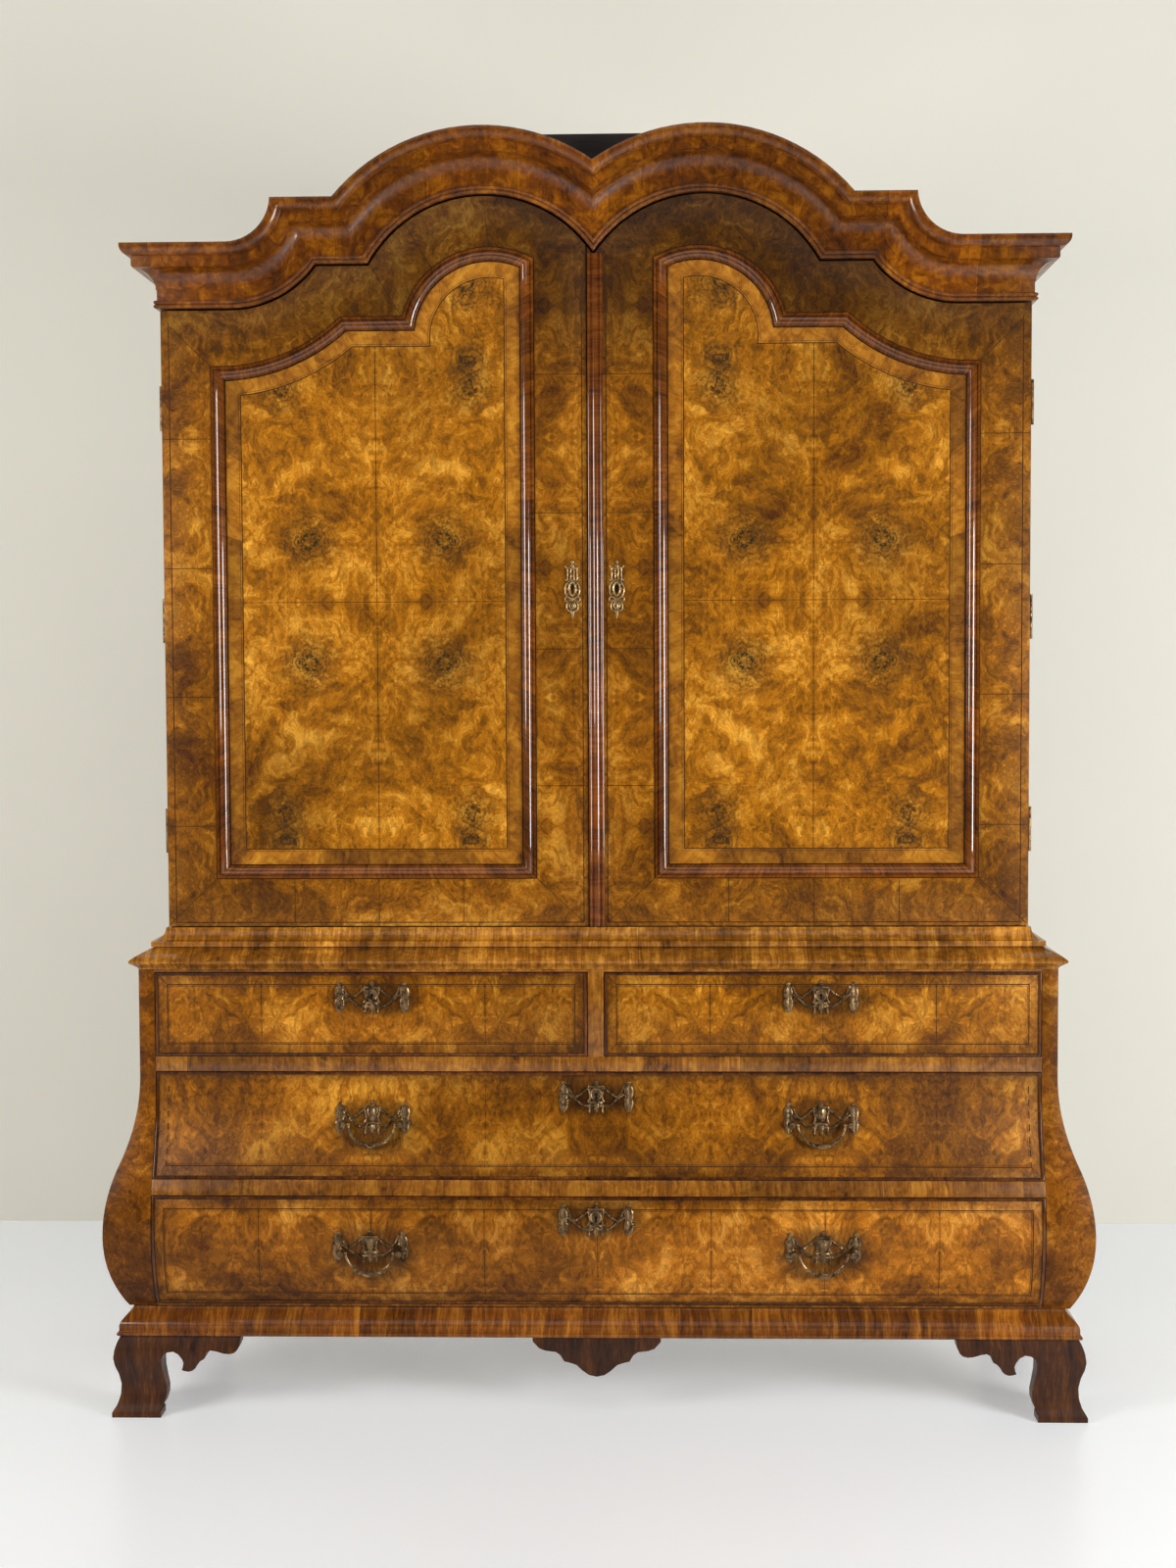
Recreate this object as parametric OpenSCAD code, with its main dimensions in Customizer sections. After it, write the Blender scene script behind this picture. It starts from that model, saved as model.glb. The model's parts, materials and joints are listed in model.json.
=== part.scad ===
// Two-part walnut cabinet: an upper case with two arched doors under a double-domed cornice,
// on a bombe chest of two short over two long drawers, on bracket feet.
// Millimetres. +Z up, the front faces -Y, origin on the floor under the middle.

/* [Carcass] */
// Depth of the whole cabinet at the belly
depth = 620; // [560:5:700]
// Width of the chest above its swell
lower_w = 1720; // [1640:10:1840]
// Width of the upper case
upper_w = 1626; // [1590:2:1640]
// Step back from the chest front to the door front
upper_setback = 45; // [38:1:60]
// Thickness of the carcass boards
board_t = 22; // [18:1:26]
// Thickness of the back boards
back_t = 12; // [8:1:16]
// Visible edge of the chest sides beside the drawers
stile_w = 30; // [24:1:40]

/* [Levels] */
// Height of the bracket feet
foot_h = 152; // [130:2:180]
// Height of the base moulding
base_h = 54; // [44:1:64]
// Height of the bottom drawer opening
bottom_drawer_h = 212; // [190:2:240]
// Height of the middle drawer opening
middle_drawer_h = 196; // [180:2:220]
// Height of the two short drawer openings
small_drawer_h = 160; // [140:2:180]
// Height of a drawer rail
rail_h = 28; // [22:1:34]
// Height of the rails under and over the drawers
edge_rail_h = 5; // [4:1:8]
// Height of the waist moulding
waist_h = 40; // [32:1:48]
// Height of the hollow moulding under the doors
cavetto_h = 34; // [28:1:40]
// Height of the doors at their outer edges, up to the cornice
door_side_h = 1162; // [1080:2:1240]
// Height of the cornice moulding
cornice_h = 112; // [108:1:120]

/* [Swell of the chest] */
// How far the belly swells past the straight top
swell = 61; // [40:1:70]
// Height of the fullest point above the base moulding
belly_up = 139; // [125:1:155]
// Height of the start of the swell above the base moulding
flare_up = 434; // [400:2:460]
// Radius of the belly above its fullest point
belly_r = 330; // [300:5:360]
// Radius of the belly below its fullest point
tuck_r = 265; // [240:5:300]

/* [Cornice line] */
// Distance of the arch centres from the middle
arch_x = 205; // [195:1:215]
// Radius of the crown edge over an arch
arch_r = 360; // [350:1:370]
// Rise of the arch tops over the cornice ends
arch_rise = 206; // [196:1:214]
// Rise of the shoulders over the cornice ends
shoulder_rise = 80; // [72:1:82]
// Radius of the hollow corner at the crown edge
cove_r = 84; // [83:1:92]
// Distance of the hollow corner centre from the middle
cove_x = 677; // [665:1:690]
// Reach of the crown in front of the doors
crown_out = 60; // [56:1:66]

/* [Doors] */
// Thickness of a door frame
door_t = 26; // [22:1:30]
// Gap around a door
door_gap = 2; // [1.5:0.5:3]
// Gap between a door top and the cornice, which the swing needs
door_top_gap = 3.5; // [3:0.5:5]
// Width of the centre strip
strip_w = 29; // [24:1:34]
// Width of the outer door stiles
outer_stile_w = 94; // [84:1:104]
// Width of the meeting stiles, from the middle
inner_stile_w = 112; // [104:1:120]
// Height of the bottom door rail
door_rail_h = 93; // [84:1:110]
// Width of the panel moulding
panel_mould_w = 25; // [20:1:30]
// Radius of the panel arch
panel_arch_r = 167; // [158:1:174]

/* [Drawers] */
// Thickness of a drawer front at its thinnest
front_t = 26; // [22:1:30]
// Gap around a drawer front
drawer_gap = 1.5; // [1:0.25:2]
// Width of the bead round a drawer front
bead_w = 5; // [4:0.5:7]
// Thickness of the drawer sides
drawer_side_t = 12; // [10:1:15]
// Width of the divider between the short drawers
divider_w = 30; // [24:1:36]

/* [Shelves] */
// Number of shelves
shelf_n = 3; // [2:1:4]
// Thickness of a shelf
shelf_t = 20; // [16:1:24]

/* [Brass] */
// Thickness of the drawer plates
plate_t = 2; // [1.5:0.25:3]
// Half width of a drawer plate
plate_x = 70; // [64:1:76]
// Distance of the handles from the middle
handle_x = 420; // [390:5:460]
// Half distance between the pivots of a bail
bail_x = 54; // [50:1:58]
// Drop of a bail under its pivots
bail_drop = 40; // [34:1:46]
// Reach of the pivot posts in front of a plate
post_out = 17; // [16:1:20]
// Radius of a bail pivot pin
bail_pin_r = 2; // [1.5:0.25:2.5]
// Height of a hinge
hinge_h = 84; // [70:2:100]

/* [Hidden] */

$fn = 96;
over = 1;
slip = 0.3;
burr = "#b3742f";
dark_walnut = "#6e3f22";
oak = "#b08d5c";
brass = "#8a7444";
light_brass = "#b3934c";

// Heights worked out from the stack
base_z = foot_h;
case_z = base_z + base_h;
bottom_row_z = case_z + edge_rail_h;
rail_1_z = bottom_row_z + bottom_drawer_h;
middle_row_z = rail_1_z + rail_h;
rail_2_z = middle_row_z + middle_drawer_h;
small_row_z = rail_2_z + rail_h;
top_rail_z = small_row_z + small_drawer_h;
waist_z = top_rail_z + edge_rail_h;
cavetto_z = waist_z + waist_h;
door_z = cavetto_z + cavetto_h;
astragal_z = door_z + door_side_h;
crown_z = astragal_z + cornice_h;
shoulder_z = crown_z + shoulder_rise;
apex_z = crown_z + arch_rise;
arch_z = apex_z - arch_r;
cove_z = crown_z + cove_r;

// Swell: a straight top, a hollow flare, the belly and the tuck below it
belly_z = case_z + belly_up;
flare_z = case_z + flare_up;
flare_rise = flare_z - belly_z;
radius_sum = (flare_rise * flare_rise / swell + swell) / 2;
flare_r = radius_sum - belly_r;
tangent_sin = flare_rise / radius_sum;
// The hollow bites this much into the belly, so that the two arcs cross cleanly within a short rise
blend = 0.02;
crossing = 5;

// Heights of the plates and keyholes, as shares of their drawers
small_key_share = 0.7;
middle_plate_share = 0.56;
middle_key_share = 0.76;
bottom_plate_share = 0.56;
bottom_key_share = 0.8;
small_plate_z = small_row_z + small_key_share * small_drawer_h;
middle_plate_z = middle_row_z + middle_plate_share * middle_drawer_h;
middle_key_z = middle_row_z + middle_key_share * middle_drawer_h;
bottom_plate_z = bottom_row_z + bottom_plate_share * bottom_drawer_h;
bottom_key_z = bottom_row_z + bottom_key_share * bottom_drawer_h;
pivot_drop = 10;

// Depths, with the origin midway between the handle posts and the back
handle_reach = face_reach(bottom_plate_z - pivot_drop) + post_out;
lower_face_y = (handle_reach + swell - depth) / 2;
door_y = lower_face_y + upper_setback;
back_y = lower_face_y + depth - swell;
hinge_gap = 3;
frame_back_y = door_y + door_t;
carcass_y = frame_back_y + hinge_gap;
lower_x = lower_w / 2;
upper_x = upper_w / 2;
drawer_x = lower_x - stile_w;
fill = lower_x + over;

// Runs a (y, z) profile along X, centred
module along_x(length) {
    rotate([90, 0, 90])
        linear_extrude(length, center = true)
            children();
}

// Runs an (x, z) outline from y0 to y1
module along_y(y0, y1) {
    translate([0, y1, 0])
        rotate([90, 0, 0])
            linear_extrude(y1 - y0)
                children();
}

module to_side(side) {
    mirror([side < 0 ? 1 : 0, 0, 0])
        children();
}

// A rectangle from one corner to the other
module span(x0, z0, x1, z1) {
    translate([x0, z0])
        square([x1 - x0, z1 - z0]);
}

// Wraps a profile (reach, height) round the front and the two sides, filled to the back
module wrap(half_w, face_y, reach) {
    intersection() {
        along_x(2 * (half_w + reach))
            translate([face_y, 0])
                mirror([1, 0])
                    children();
        along_y(face_y - reach, back_y)
            for (side = [0, 1])
                mirror([side, 0])
                    translate([half_w, 0])
                        children();
    }
}

// The swelling face, grown outward; x is the reach past the straight top
module swell_profile(grow = 0) {
    join_z = belly_z + (belly_r + grow) * tangent_sin;
    inner = min(grow, 0) - over;
    span(-fill, case_z, grow, waist_z);
    intersection() {
        translate([swell - belly_r, belly_z])
            circle(r = belly_r + grow);
        span(inner, belly_z, swell + grow + over, join_z + crossing);
    }
    intersection() {
        translate([swell - tuck_r, belly_z])
            circle(r = tuck_r + grow);
        span(inner, case_z, swell + grow + over, belly_z);
    }
    difference() {
        span(inner, join_z, swell + grow, flare_z);
        translate([flare_r, flare_z])
            circle(r = flare_r - grow + blend);
    }
}

module swell_body(grow = 0) {
    wrap(lower_x, lower_face_y, swell + grow)
        swell_profile(grow);
}

// The front face alone, full width, grown outward
module swell_front(grow = 0) {
    along_x(lower_w)
        translate([lower_face_y, 0])
            mirror([1, 0])
                swell_profile(grow);
}

// Feet

// Ogee of the feet: reach past the chest face by height, as shares
foot_reach = 51;
foot_curve_shares = [[1, 0], [0.94, 0.08], [0.78, 0.16], [0.69, 0.3], [0.67, 0.43],
                     [0.76, 0.55], [0.88, 0.64], [0.92, 0.72], [0.86, 0.84], [0.7, 1]];
foot_t = 44;
foot_w = 243;
foot_leg_w = 92;

module foot_profile() {
    polygon(concat([[-fill, 0]],
                   [for (p = foot_curve_shares) [p[0] * foot_reach, p[1] * foot_h]],
                   [[-fill, foot_h]]));
}

// Bracket cut-outs, as shares of the foot height: x in from the foot's outer edge, z, radius
lobe_shares = [0.93, 0.72, 0.15];
knob_shares = [0.78, 0.68, 0.13];
bump_shares = [1.46, 0.93, 0.13];
bracket_strip_share = 0.86;
bracket_end_share = 0.0625;

// Outline of a bracket, x measured in from its outer edge
module bracket_outline() {
    lobe = lobe_shares * foot_h;
    knob = knob_shares * foot_h;
    bump = bump_shares * foot_h;
    second = lobe[0] + lobe[2] / 2 + knob[2];
    difference() {
        union() {
            span(-over, 0, foot_leg_w, foot_h);
            span(0, bracket_strip_share * foot_h, foot_w, foot_h);
            translate([second, knob[1]])
                circle(r = knob[2]);
            span(second - knob[2], knob[1], second + knob[2], foot_h);
            translate([bump[0], bump[1]])
                circle(r = bump[2]);
        }
        translate([lobe[0] - lobe[2] / 2 - over, lobe[1]])
            circle(r = lobe[2]);
        translate([foot_w, foot_h * bracket_strip_share])
            circle(r = foot_h * bracket_end_share);
    }
}

// Front foot on the right: two brackets that meet at the corner
module front_foot() {
    outer_x = lower_x + foot_reach;
    outer_y = lower_face_y - foot_reach;
    intersection() {
        wrap(lower_x, lower_face_y, foot_reach)
            foot_profile();
        union() {
            along_y(outer_y - over, outer_y + foot_t)
                translate([outer_x, 0])
                    mirror([1, 0])
                        bracket_outline();
            translate([outer_x - foot_t / 2, outer_y, 0])
                along_x(foot_t)
                    bracket_outline();
        }
    }
}

module foot_front_left() {
    color(dark_walnut)
        to_side(-1)
            front_foot();
}

module foot_front_right() {
    color(dark_walnut)
        front_foot();
}

back_foot_w = 110;

module back_feet() {
    color(dark_walnut)
        for (side = [-1, 1])
            to_side(side)
                intersection() {
                    wrap(lower_x, lower_face_y, foot_reach)
                        foot_profile();
                    along_y(back_y - foot_t, back_y)
                        span(lower_x + foot_reach - back_foot_w, 0, lower_x + foot_reach, foot_h);
                }
}

// Shaped drop under the middle of the base moulding, half outline as shares
pendant_w = 120;
pendant_h = 74;
pendant_t = 20;
pendant_shares = [[1, 0], [1, 0.1], [0.9, 0.28], [0.8, 0.34], [0.64, 0.37], [0.57, 0.45],
                  [0.51, 0.61], [0.41, 0.65], [0.32, 0.7], [0.22, 0.85], [0.12, 0.96], [0, 1]];

module apron_pendant() {
    front_y = lower_face_y - base_reach + base_bead_r + slip;
    color(dark_walnut)
        along_y(front_y, front_y + pendant_t)
            translate([0, foot_h])
                polygon(concat([for (p = pendant_shares) [p[0] * pendant_w, -p[1] * pendant_h]],
                               reversed([for (p = pendant_shares)
                                             [-p[0] * pendant_w, -p[1] * pendant_h]])));
}

// Base moulding: a bead, a flat band and a cyma up to the tucked-in chest
base_reach = 42;
base_band_h = 19;
base_bead_r = 4;
base_top_reach = 14;
base_w = 64;
cyma_steps = 8;

module base_profile() {
    band = base_reach - base_bead_r;
    span(-fill, base_z, band, base_z + base_band_h);
    translate([band, base_z + base_bead_r])
        circle(r = base_bead_r);
    polygon(concat([[-fill, base_z + base_band_h]],
                   [for (i = [0 : cyma_steps])
                       let (t = i / cyma_steps)
                       [base_top_reach + (band - base_top_reach) * (1 + cos(180 * t)) / 2,
                        base_z + base_band_h + (base_h - base_band_h) * t]],
                   [[-fill, case_z]]));
}

module base_moulding() {
    color(dark_walnut)
        difference() {
            wrap(lower_x, lower_face_y, base_reach + over)
                base_profile();
            along_y(lower_face_y + base_w - swell, back_y + over)
                span(base_w - lower_x - swell, 0, lower_x + swell - base_w, case_z + over);
        }
}

// Chest

module lower_side() {
    intersection() {
        swell_body();
        along_y(lower_face_y - swell - over, back_y)
            span(drawer_x, case_z, lower_x + swell + over, waist_z);
    }
}

module lower_side_left() {
    color(burr)
        to_side(-1)
            lower_side();
}

module lower_side_right() {
    color(burr)
        lower_side();
}

module lower_bottom() {
    color(oak)
        along_y(lower_face_y + base_w - swell, back_y)
            span(base_w - lower_x - swell, case_z - board_t, lower_x + swell - base_w, case_z);
}

module lower_back() {
    color(oak)
        along_y(back_y - back_t, back_y)
            span(-drawer_x, case_z, drawer_x, waist_z);
}

module lower_top() {
    color(oak)
        along_y(lower_face_y + waist_back, back_y)
            span(waist_back - lower_x, waist_z, lower_x - waist_back, waist_z + board_t);
}

rail_depth = 90;

// A rail whose front follows the swell
module rail(z0, z1) {
    intersection() {
        swell_front();
        along_y(lower_face_y - swell - over, lower_face_y + rail_depth)
            span(-drawer_x, z0, drawer_x, z1);
    }
}

module drawer_rails() {
    color(dark_walnut) {
        rail(case_z, bottom_row_z);
        rail(rail_1_z, middle_row_z);
        rail(rail_2_z, small_row_z);
        rail(top_rail_z, waist_z);
    }
}

module drawer_divider() {
    color(dark_walnut)
        along_y(lower_face_y, back_y - back_t)
            span(-divider_w / 2, small_row_z, divider_w / 2, top_rail_z);
}

runner_w = 50;

// Runners behind the rails carry the drawers
module drawer_runners() {
    y0 = lower_face_y + rail_depth;
    y1 = back_y - back_t;
    color(oak) {
        for (z = [bottom_row_z, middle_row_z, small_row_z])
            for (side = [-1, 1])
                to_side(side)
                    along_y(y0, y1)
                        span(drawer_x - runner_w, max(z - rail_h, case_z), drawer_x, z);
        along_y(y0, y1)
            span(-runner_w, rail_2_z, runner_w, small_row_z);
    }
}

// Waist moulding: half outline as shares of its reach and its height
waist_out = 16;
waist_back = 47;
waist_shares = [[0, 0], [0.12, 0.1], [0.56, 0.22], [0.94, 0.32], [1, 0.38], [0.87, 0.46],
                [0.38, 0.6], [-0.1, 0.7], [-0.6, 0.8], [-1.65, 1]];

module waist_profile() {
    span(-fill, waist_z, over - waist_back, cavetto_z);
    polygon(concat([[-waist_back, waist_z]],
                   [for (p = waist_shares) [p[0] * waist_out, waist_z + p[1] * waist_h]],
                   [[-waist_back, cavetto_z]]));
}

module waist_moulding() {
    color(dark_walnut)
        difference() {
            wrap(lower_x, lower_face_y, waist_out)
                waist_profile();
            along_y(lower_face_y + waist_back, back_y + over)
                span(waist_back - lower_x, waist_z - over, lower_x - waist_back, cavetto_z + over);
        }
}

// Upper case

cavetto_out = 27;
cavetto_fillet_h = 10;
cavetto_lip = 3;

module cavetto_profile() {
    hollow_r = cavetto_h - cavetto_fillet_h;
    difference() {
        span(-fill, cavetto_z, cavetto_out, door_z);
        translate([cavetto_lip + hollow_r, door_z])
            circle(r = hollow_r);
    }
}

module cavetto_moulding() {
    color(dark_walnut)
        difference() {
            wrap(upper_x, door_y, cavetto_out)
                cavetto_profile();
            along_y(door_y, back_y + over)
                span(-upper_x, cavetto_z - over, upper_x, door_z + over);
        }
}

module upper_bottom_rail() {
    color(dark_walnut)
        along_y(door_y, carcass_y)
            span(-upper_x, cavetto_z, upper_x, door_z);
}

roof_t = 12;
roof_drop = 6;

module upper_side() {
    along_y(carcass_y, back_y)
        span(upper_x - board_t, cavetto_z, upper_x, crown_z - roof_drop - roof_t);
}

module upper_side_left() {
    color(burr)
        to_side(-1)
            upper_side();
}

module upper_side_right() {
    color(burr)
        upper_side();
}

module upper_bottom() {
    color(oak)
        along_y(carcass_y, back_y - back_t)
            span(board_t - upper_x, door_z - board_t, upper_x - board_t, door_z);
}

// Where the hollow corner meets the shoulder, and the shoulder meets the arch
function cove_corner_x(drop) =
    cove_x - sqrt(pow(cove_r + drop, 2) - pow(cove_z - shoulder_z + drop, 2));
function arch_corner_x(drop) =
    arch_x + sqrt(pow(arch_r - drop, 2) - pow(shoulder_z - drop - arch_z, 2));

// Everything under the double-domed line, a drop below the crown edge
module domed_area(drop, half_w = upper_x) {
    corner_x = cove_corner_x(drop);
    span(-half_w, door_z, half_w, crown_z - drop);
    span(-corner_x, door_z, corner_x, shoulder_z - drop);
    for (side = [0, 1])
        mirror([side, 0]) {
            translate([arch_x, arch_z])
                circle(r = arch_r - drop);
            difference() {
                span(corner_x - over, door_z, cove_x, shoulder_z - drop);
                translate([cove_x, cove_z])
                    circle(r = cove_r + drop);
            }
        }
}

// The same, filled flat across the valley between the arches
module filled_area(drop) {
    domed_area(drop);
    span(-arch_x, door_z, arch_x, apex_z - drop);
}

module upper_back() {
    color(oak)
        along_y(back_y - back_t, back_y) {
            span(board_t - upper_x, cavetto_z, upper_x - board_t, door_z + over);
            intersection() {
                filled_area(roof_drop + roof_t);
                span(board_t - upper_x, door_z, upper_x - board_t, apex_z);
            }
        }
}

module upper_roof() {
    color(oak)
        along_y(carcass_y, back_y)
            difference() {
                filled_area(roof_drop);
                filled_area(roof_drop + roof_t);
            }
}

board_drop = 4;

module cornice_board() {
    color(dark_walnut)
        along_y(door_y, carcass_y)
            difference() {
                filled_area(board_drop);
                domed_area(cornice_h - over, upper_x + over);
            }
}

// Cornice moulding: lip, ovolo, fillet, cove and frieze, with the reach as x and the drop as -y
crown_lip = 4;
ovolo_r = 18;
fillet_h = 17;
fillet_lip = 2;
cornice_cove_r = 36;
cove_quirk = 1.5;
frieze_out = 3;
astragal_h = 15;
astragal_out = 5;

module cornice_profile() {
    fillet_out = crown_out - ovolo_r;
    fillet_drop = crown_lip + ovolo_r + fillet_h;
    cove_drop = fillet_drop + fillet_lip + cornice_cove_r;
    cove_out = frieze_out + cove_quirk + cornice_cove_r;
    span(0, -crown_lip, crown_out, 0);
    intersection() {
        translate([fillet_out, -crown_lip])
            circle(r = ovolo_r);
        span(0, -crown_lip - ovolo_r, crown_out, -crown_lip);
    }
    span(0, -fillet_drop, fillet_out, -crown_lip);
    difference() {
        span(0, -cove_drop, cove_out, -fillet_drop);
        translate([cove_out, -cove_drop])
            circle(r = cornice_cove_r);
    }
    span(0, astragal_h - cornice_h, frieze_out, -cove_drop);
}

// Two small beads under the frieze
bead_share = 0.9;

module astragal_profile() {
    span(0, -cornice_h, astragal_out, astragal_h - cornice_h);
    for (i = [1, 3])
        translate([astragal_out, astragal_h * i / 4 - cornice_h])
            circle(r = bead_share * astragal_h / 4);
}

// Clip shapes in (x, z), so that neighbouring runs meet in a true mitre with a hairline joint
mitre_steps = 8;
mitre_gap = 0.3;
half_gap = mitre_gap / 2;
function mitre_drops() = [for (i = [0 : mitre_steps]) (cornice_h + 2 * over) * i / mitre_steps - over];
function cove_mitre(gap) = [for (d = mitre_drops()) [cove_corner_x(d) + gap, shoulder_z - d]];
function arch_mitre(gap) = [for (d = mitre_drops()) [arch_corner_x(d) + gap, shoulder_z - d]];
function reversed(list) = [for (i = [len(list) - 1 : -1 : 0]) list[i]];

module cove_clip() {
    line = cove_mitre(half_gap);
    end_x = cove_x - half_gap;
    polygon(concat(line, [[line[mitre_steps][0], crown_z - 2 * cornice_h],
                          [end_x, crown_z - 2 * cornice_h], [end_x, cove_z]]));
}

module shoulder_clip() {
    polygon(concat(cove_mitre(-half_gap), reversed(arch_mitre(half_gap))));
}

module arch_clip() {
    polygon(concat([[half_gap, apex_z + over], [half_gap, arch_z], [arch_x, arch_z]],
                   reversed(arch_mitre(-half_gap)), [[arch_corner_x(-over) - half_gap, apex_z + over]]));
}

// One run along the right half of the domed line: arch, shoulder and hollow corner
module domed_run() {
    front_y = door_y - crown_out - over;
    intersection() {
        translate([arch_x, door_y, arch_z])
            rotate([90, 0, 0])
                rotate_extrude()
                    translate([arch_r, 0])
                        mirror([1, 0])
                            rotate(90)
                                children();
        along_y(front_y, door_y)
            arch_clip();
    }
    intersection() {
        translate([0, 0, shoulder_z])
            along_x(upper_w)
                translate([door_y, 0])
                    mirror([1, 0])
                        children();
        along_y(front_y, door_y)
            shoulder_clip();
    }
    intersection() {
        translate([cove_x, door_y, cove_z])
            rotate([90, 0, 0])
                rotate_extrude()
                    translate([cove_r, 0])
                        rotate(90)
                            children();
        along_y(front_y, door_y)
            cove_clip();
    }
}

// The straight ends and the returns along the sides
module end_runs() {
    difference() {
        wrap(upper_x, door_y, crown_out + over)
            translate([0, crown_z]) {
                children();
                span(-fill, -cornice_h, 0, 0);
            }
        along_y(door_y, back_y + over)
            span(-upper_x, crown_z - 2 * cornice_h, upper_x, crown_z + over);
        along_y(door_y - crown_out - 2 * over, door_y + over)
            span(-cove_x, crown_z - 2 * cornice_h, cove_x, crown_z + over);
    }
}

// What the cornice profile leaves free in front of the doors, down to a drop
module cornice_negative(drop) {
    difference() {
        span(0, -drop, crown_out + 2 * over, over);
        cornice_profile();
        span(0, -over, crown_out, over + slip);
    }
    span(-over, -drop, over, astragal_h - cornice_h);
}

// Cuts the mouldings of the domed line out of a mass, each run from its own centre or level
module domed_cutters() {
    deep = apex_z - door_z;
    for (side = [-1, 1])
        to_side(side)
            translate([arch_x, door_y, arch_z])
                rotate([90, 0, 0])
                    rotate_extrude()
                        translate([arch_r, 0])
                            mirror([1, 0])
                                rotate(90)
                                    cornice_negative(arch_r);
    intersection() {
        translate([0, 0, shoulder_z])
            along_x(2 * cove_x)
                translate([door_y, 0])
                    mirror([1, 0])
                        cornice_negative(deep);
        for (side = [-1, 1])
            to_side(side)
                intersection() {
                    translate([cove_x, door_y, cove_z])
                        rotate([90, 0, 0])
                            rotate_extrude()
                                translate([cove_r, 0])
                                    rotate(90)
                                        cornice_negative(deep + cove_x);
                    along_y(door_y - crown_out - 3 * over, door_y + over)
                        span(0, door_z, cove_x, apex_z);
                }
    }
    translate([0, 0, crown_z])
        along_x(2 * (upper_x + crown_out + over))
            translate([door_y, 0])
                mirror([1, 0])
                    cornice_negative(deep);
}

module cornice_moulding() {
    color(dark_walnut)
        difference() {
            intersection() {
                along_y(door_y - crown_out - over, back_y)
                    domed_area(0, upper_x + crown_out + over);
                along_y(door_y - crown_out - 2 * over, back_y + over) {
                    span(-upper_x, astragal_z, upper_x, apex_z + over);
                    for (side = [0, 1])
                        mirror([side, 0])
                            translate([upper_x - over, crown_z]) {
                                translate([over, 0])
                                    cornice_profile();
                                span(0, astragal_h - cornice_h, over, 0);
                            }
                }
            }
            domed_cutters();
            along_y(door_y, back_y + over)
                span(-upper_x, door_z, upper_x, apex_z + over);
        }
}

module cornice_astragal() {
    color(dark_walnut) {
        for (side = [-1, 1])
            to_side(side)
                domed_run()
                    astragal_profile();
        end_runs()
            astragal_profile();
    }
}

// Shelves rest on battens screwed to the sides
batten_w = 25;
shelf_pitch = (astragal_z - door_z) / (shelf_n + 1);
shelf_front_y = carcass_y + board_t;

module shelves() {
    color(oak)
        for (i = [1 : shelf_n])
            along_y(shelf_front_y, back_y - back_t)
                span(board_t - upper_x, door_z + i * shelf_pitch,
                     upper_x - board_t, door_z + i * shelf_pitch + shelf_t);
}

module shelf_battens() {
    color(oak)
        for (i = [1 : shelf_n])
            for (side = [-1, 1])
                to_side(side)
                    along_y(shelf_front_y + batten_w, back_y - back_t)
                        span(upper_x - board_t - batten_w, door_z + i * shelf_pitch - batten_w,
                             upper_x - board_t, door_z + i * shelf_pitch);
}

// Butt hinges, leaves between the door back and the carcass edge
leaf_t = 1.4;
knuckle_r = 3.5;
knuckle_gap = 0.5;
pin_r = 1.5;
pin_slip = 0.05;
hinge_x = upper_x + knuckle_r + knuckle_gap;
hinge_y = frame_back_y + hinge_gap / 2;
hinge_n = 3;
hinge_inset = 140;

function hinge_z(i) =
    door_z + hinge_inset + i * (door_side_h - 2 * hinge_inset - hinge_h) / (hinge_n - 1);

// A leaf with its knuckles; low and high give each knuckle's place on the hinge
module leaf(y0, y1, knuckles) {
    along_y(y0, y1)
        span(upper_x - board_t + over, 0, upper_x, hinge_h);
    for (k = knuckles) {
        z0 = k[0] * hinge_h / 3 + (k[0] > 0 ? slip / 2 : 0);
        z1 = k[1] * hinge_h / 3 - (k[1] < 3 ? slip / 2 : 0);
        along_y(y0, y1)
            span(upper_x - over, z0, hinge_x, z1);
        translate([hinge_x, hinge_y, z0])
            cylinder(h = z1 - z0, r = knuckle_r);
    }
}

module case_hinge_leaves() {
    color(brass)
        for (side = [-1, 1])
            to_side(side)
                for (i = [0 : hinge_n - 1])
                    translate([0, 0, hinge_z(i)]) {
                        leaf(carcass_y - leaf_t, carcass_y, [[0, 1], [2, 3]]);
                        translate([hinge_x, hinge_y, 0])
                            cylinder(h = hinge_h, r = pin_r);
                    }
}

module door_leaves() {
    for (i = [0 : hinge_n - 1])
        translate([0, 0, hinge_z(i)])
            difference() {
                leaf(frame_back_y, frame_back_y + leaf_t, [[1, 2]]);
                translate([hinge_x, hinge_y, -over])
                    cylinder(h = hinge_h + 2 * over, r = pin_r + pin_slip);
            }
}

module left_door_hinge_leaves() {
    color(brass)
        to_side(-1)
            door_leaves();
}

module right_door_hinge_leaves() {
    color(brass)
        door_leaves();
}

// Doors, drawn on the right; the left door ends short of the centre strip
strip_out = 8;
meeting_x = strip_w / 2 - door_gap / 4;
right_inner_x = -meeting_x + door_gap;
left_inner_x = meeting_x;

// Panel opening: a tall field with a hollow shoulder and an arch
panel_bottom_z = door_z + door_rail_h;
panel_outer_x = upper_x - door_gap - outer_stile_w;
panel_cove_r = 331;
panel_cove_in = 17;
panel_cove_drop = 108;
panel_shoulder_drop = 18;
panel_arch_in = 11;
panel_arch_drop = 17;
panel_cove_x = panel_outer_x - panel_cove_in;
panel_side_z = astragal_z - panel_cove_drop;
panel_shoulder_z = astragal_z - panel_shoulder_drop;
panel_arch_x = arch_x - panel_arch_in;
panel_arch_z = arch_z - panel_arch_drop;

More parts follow.
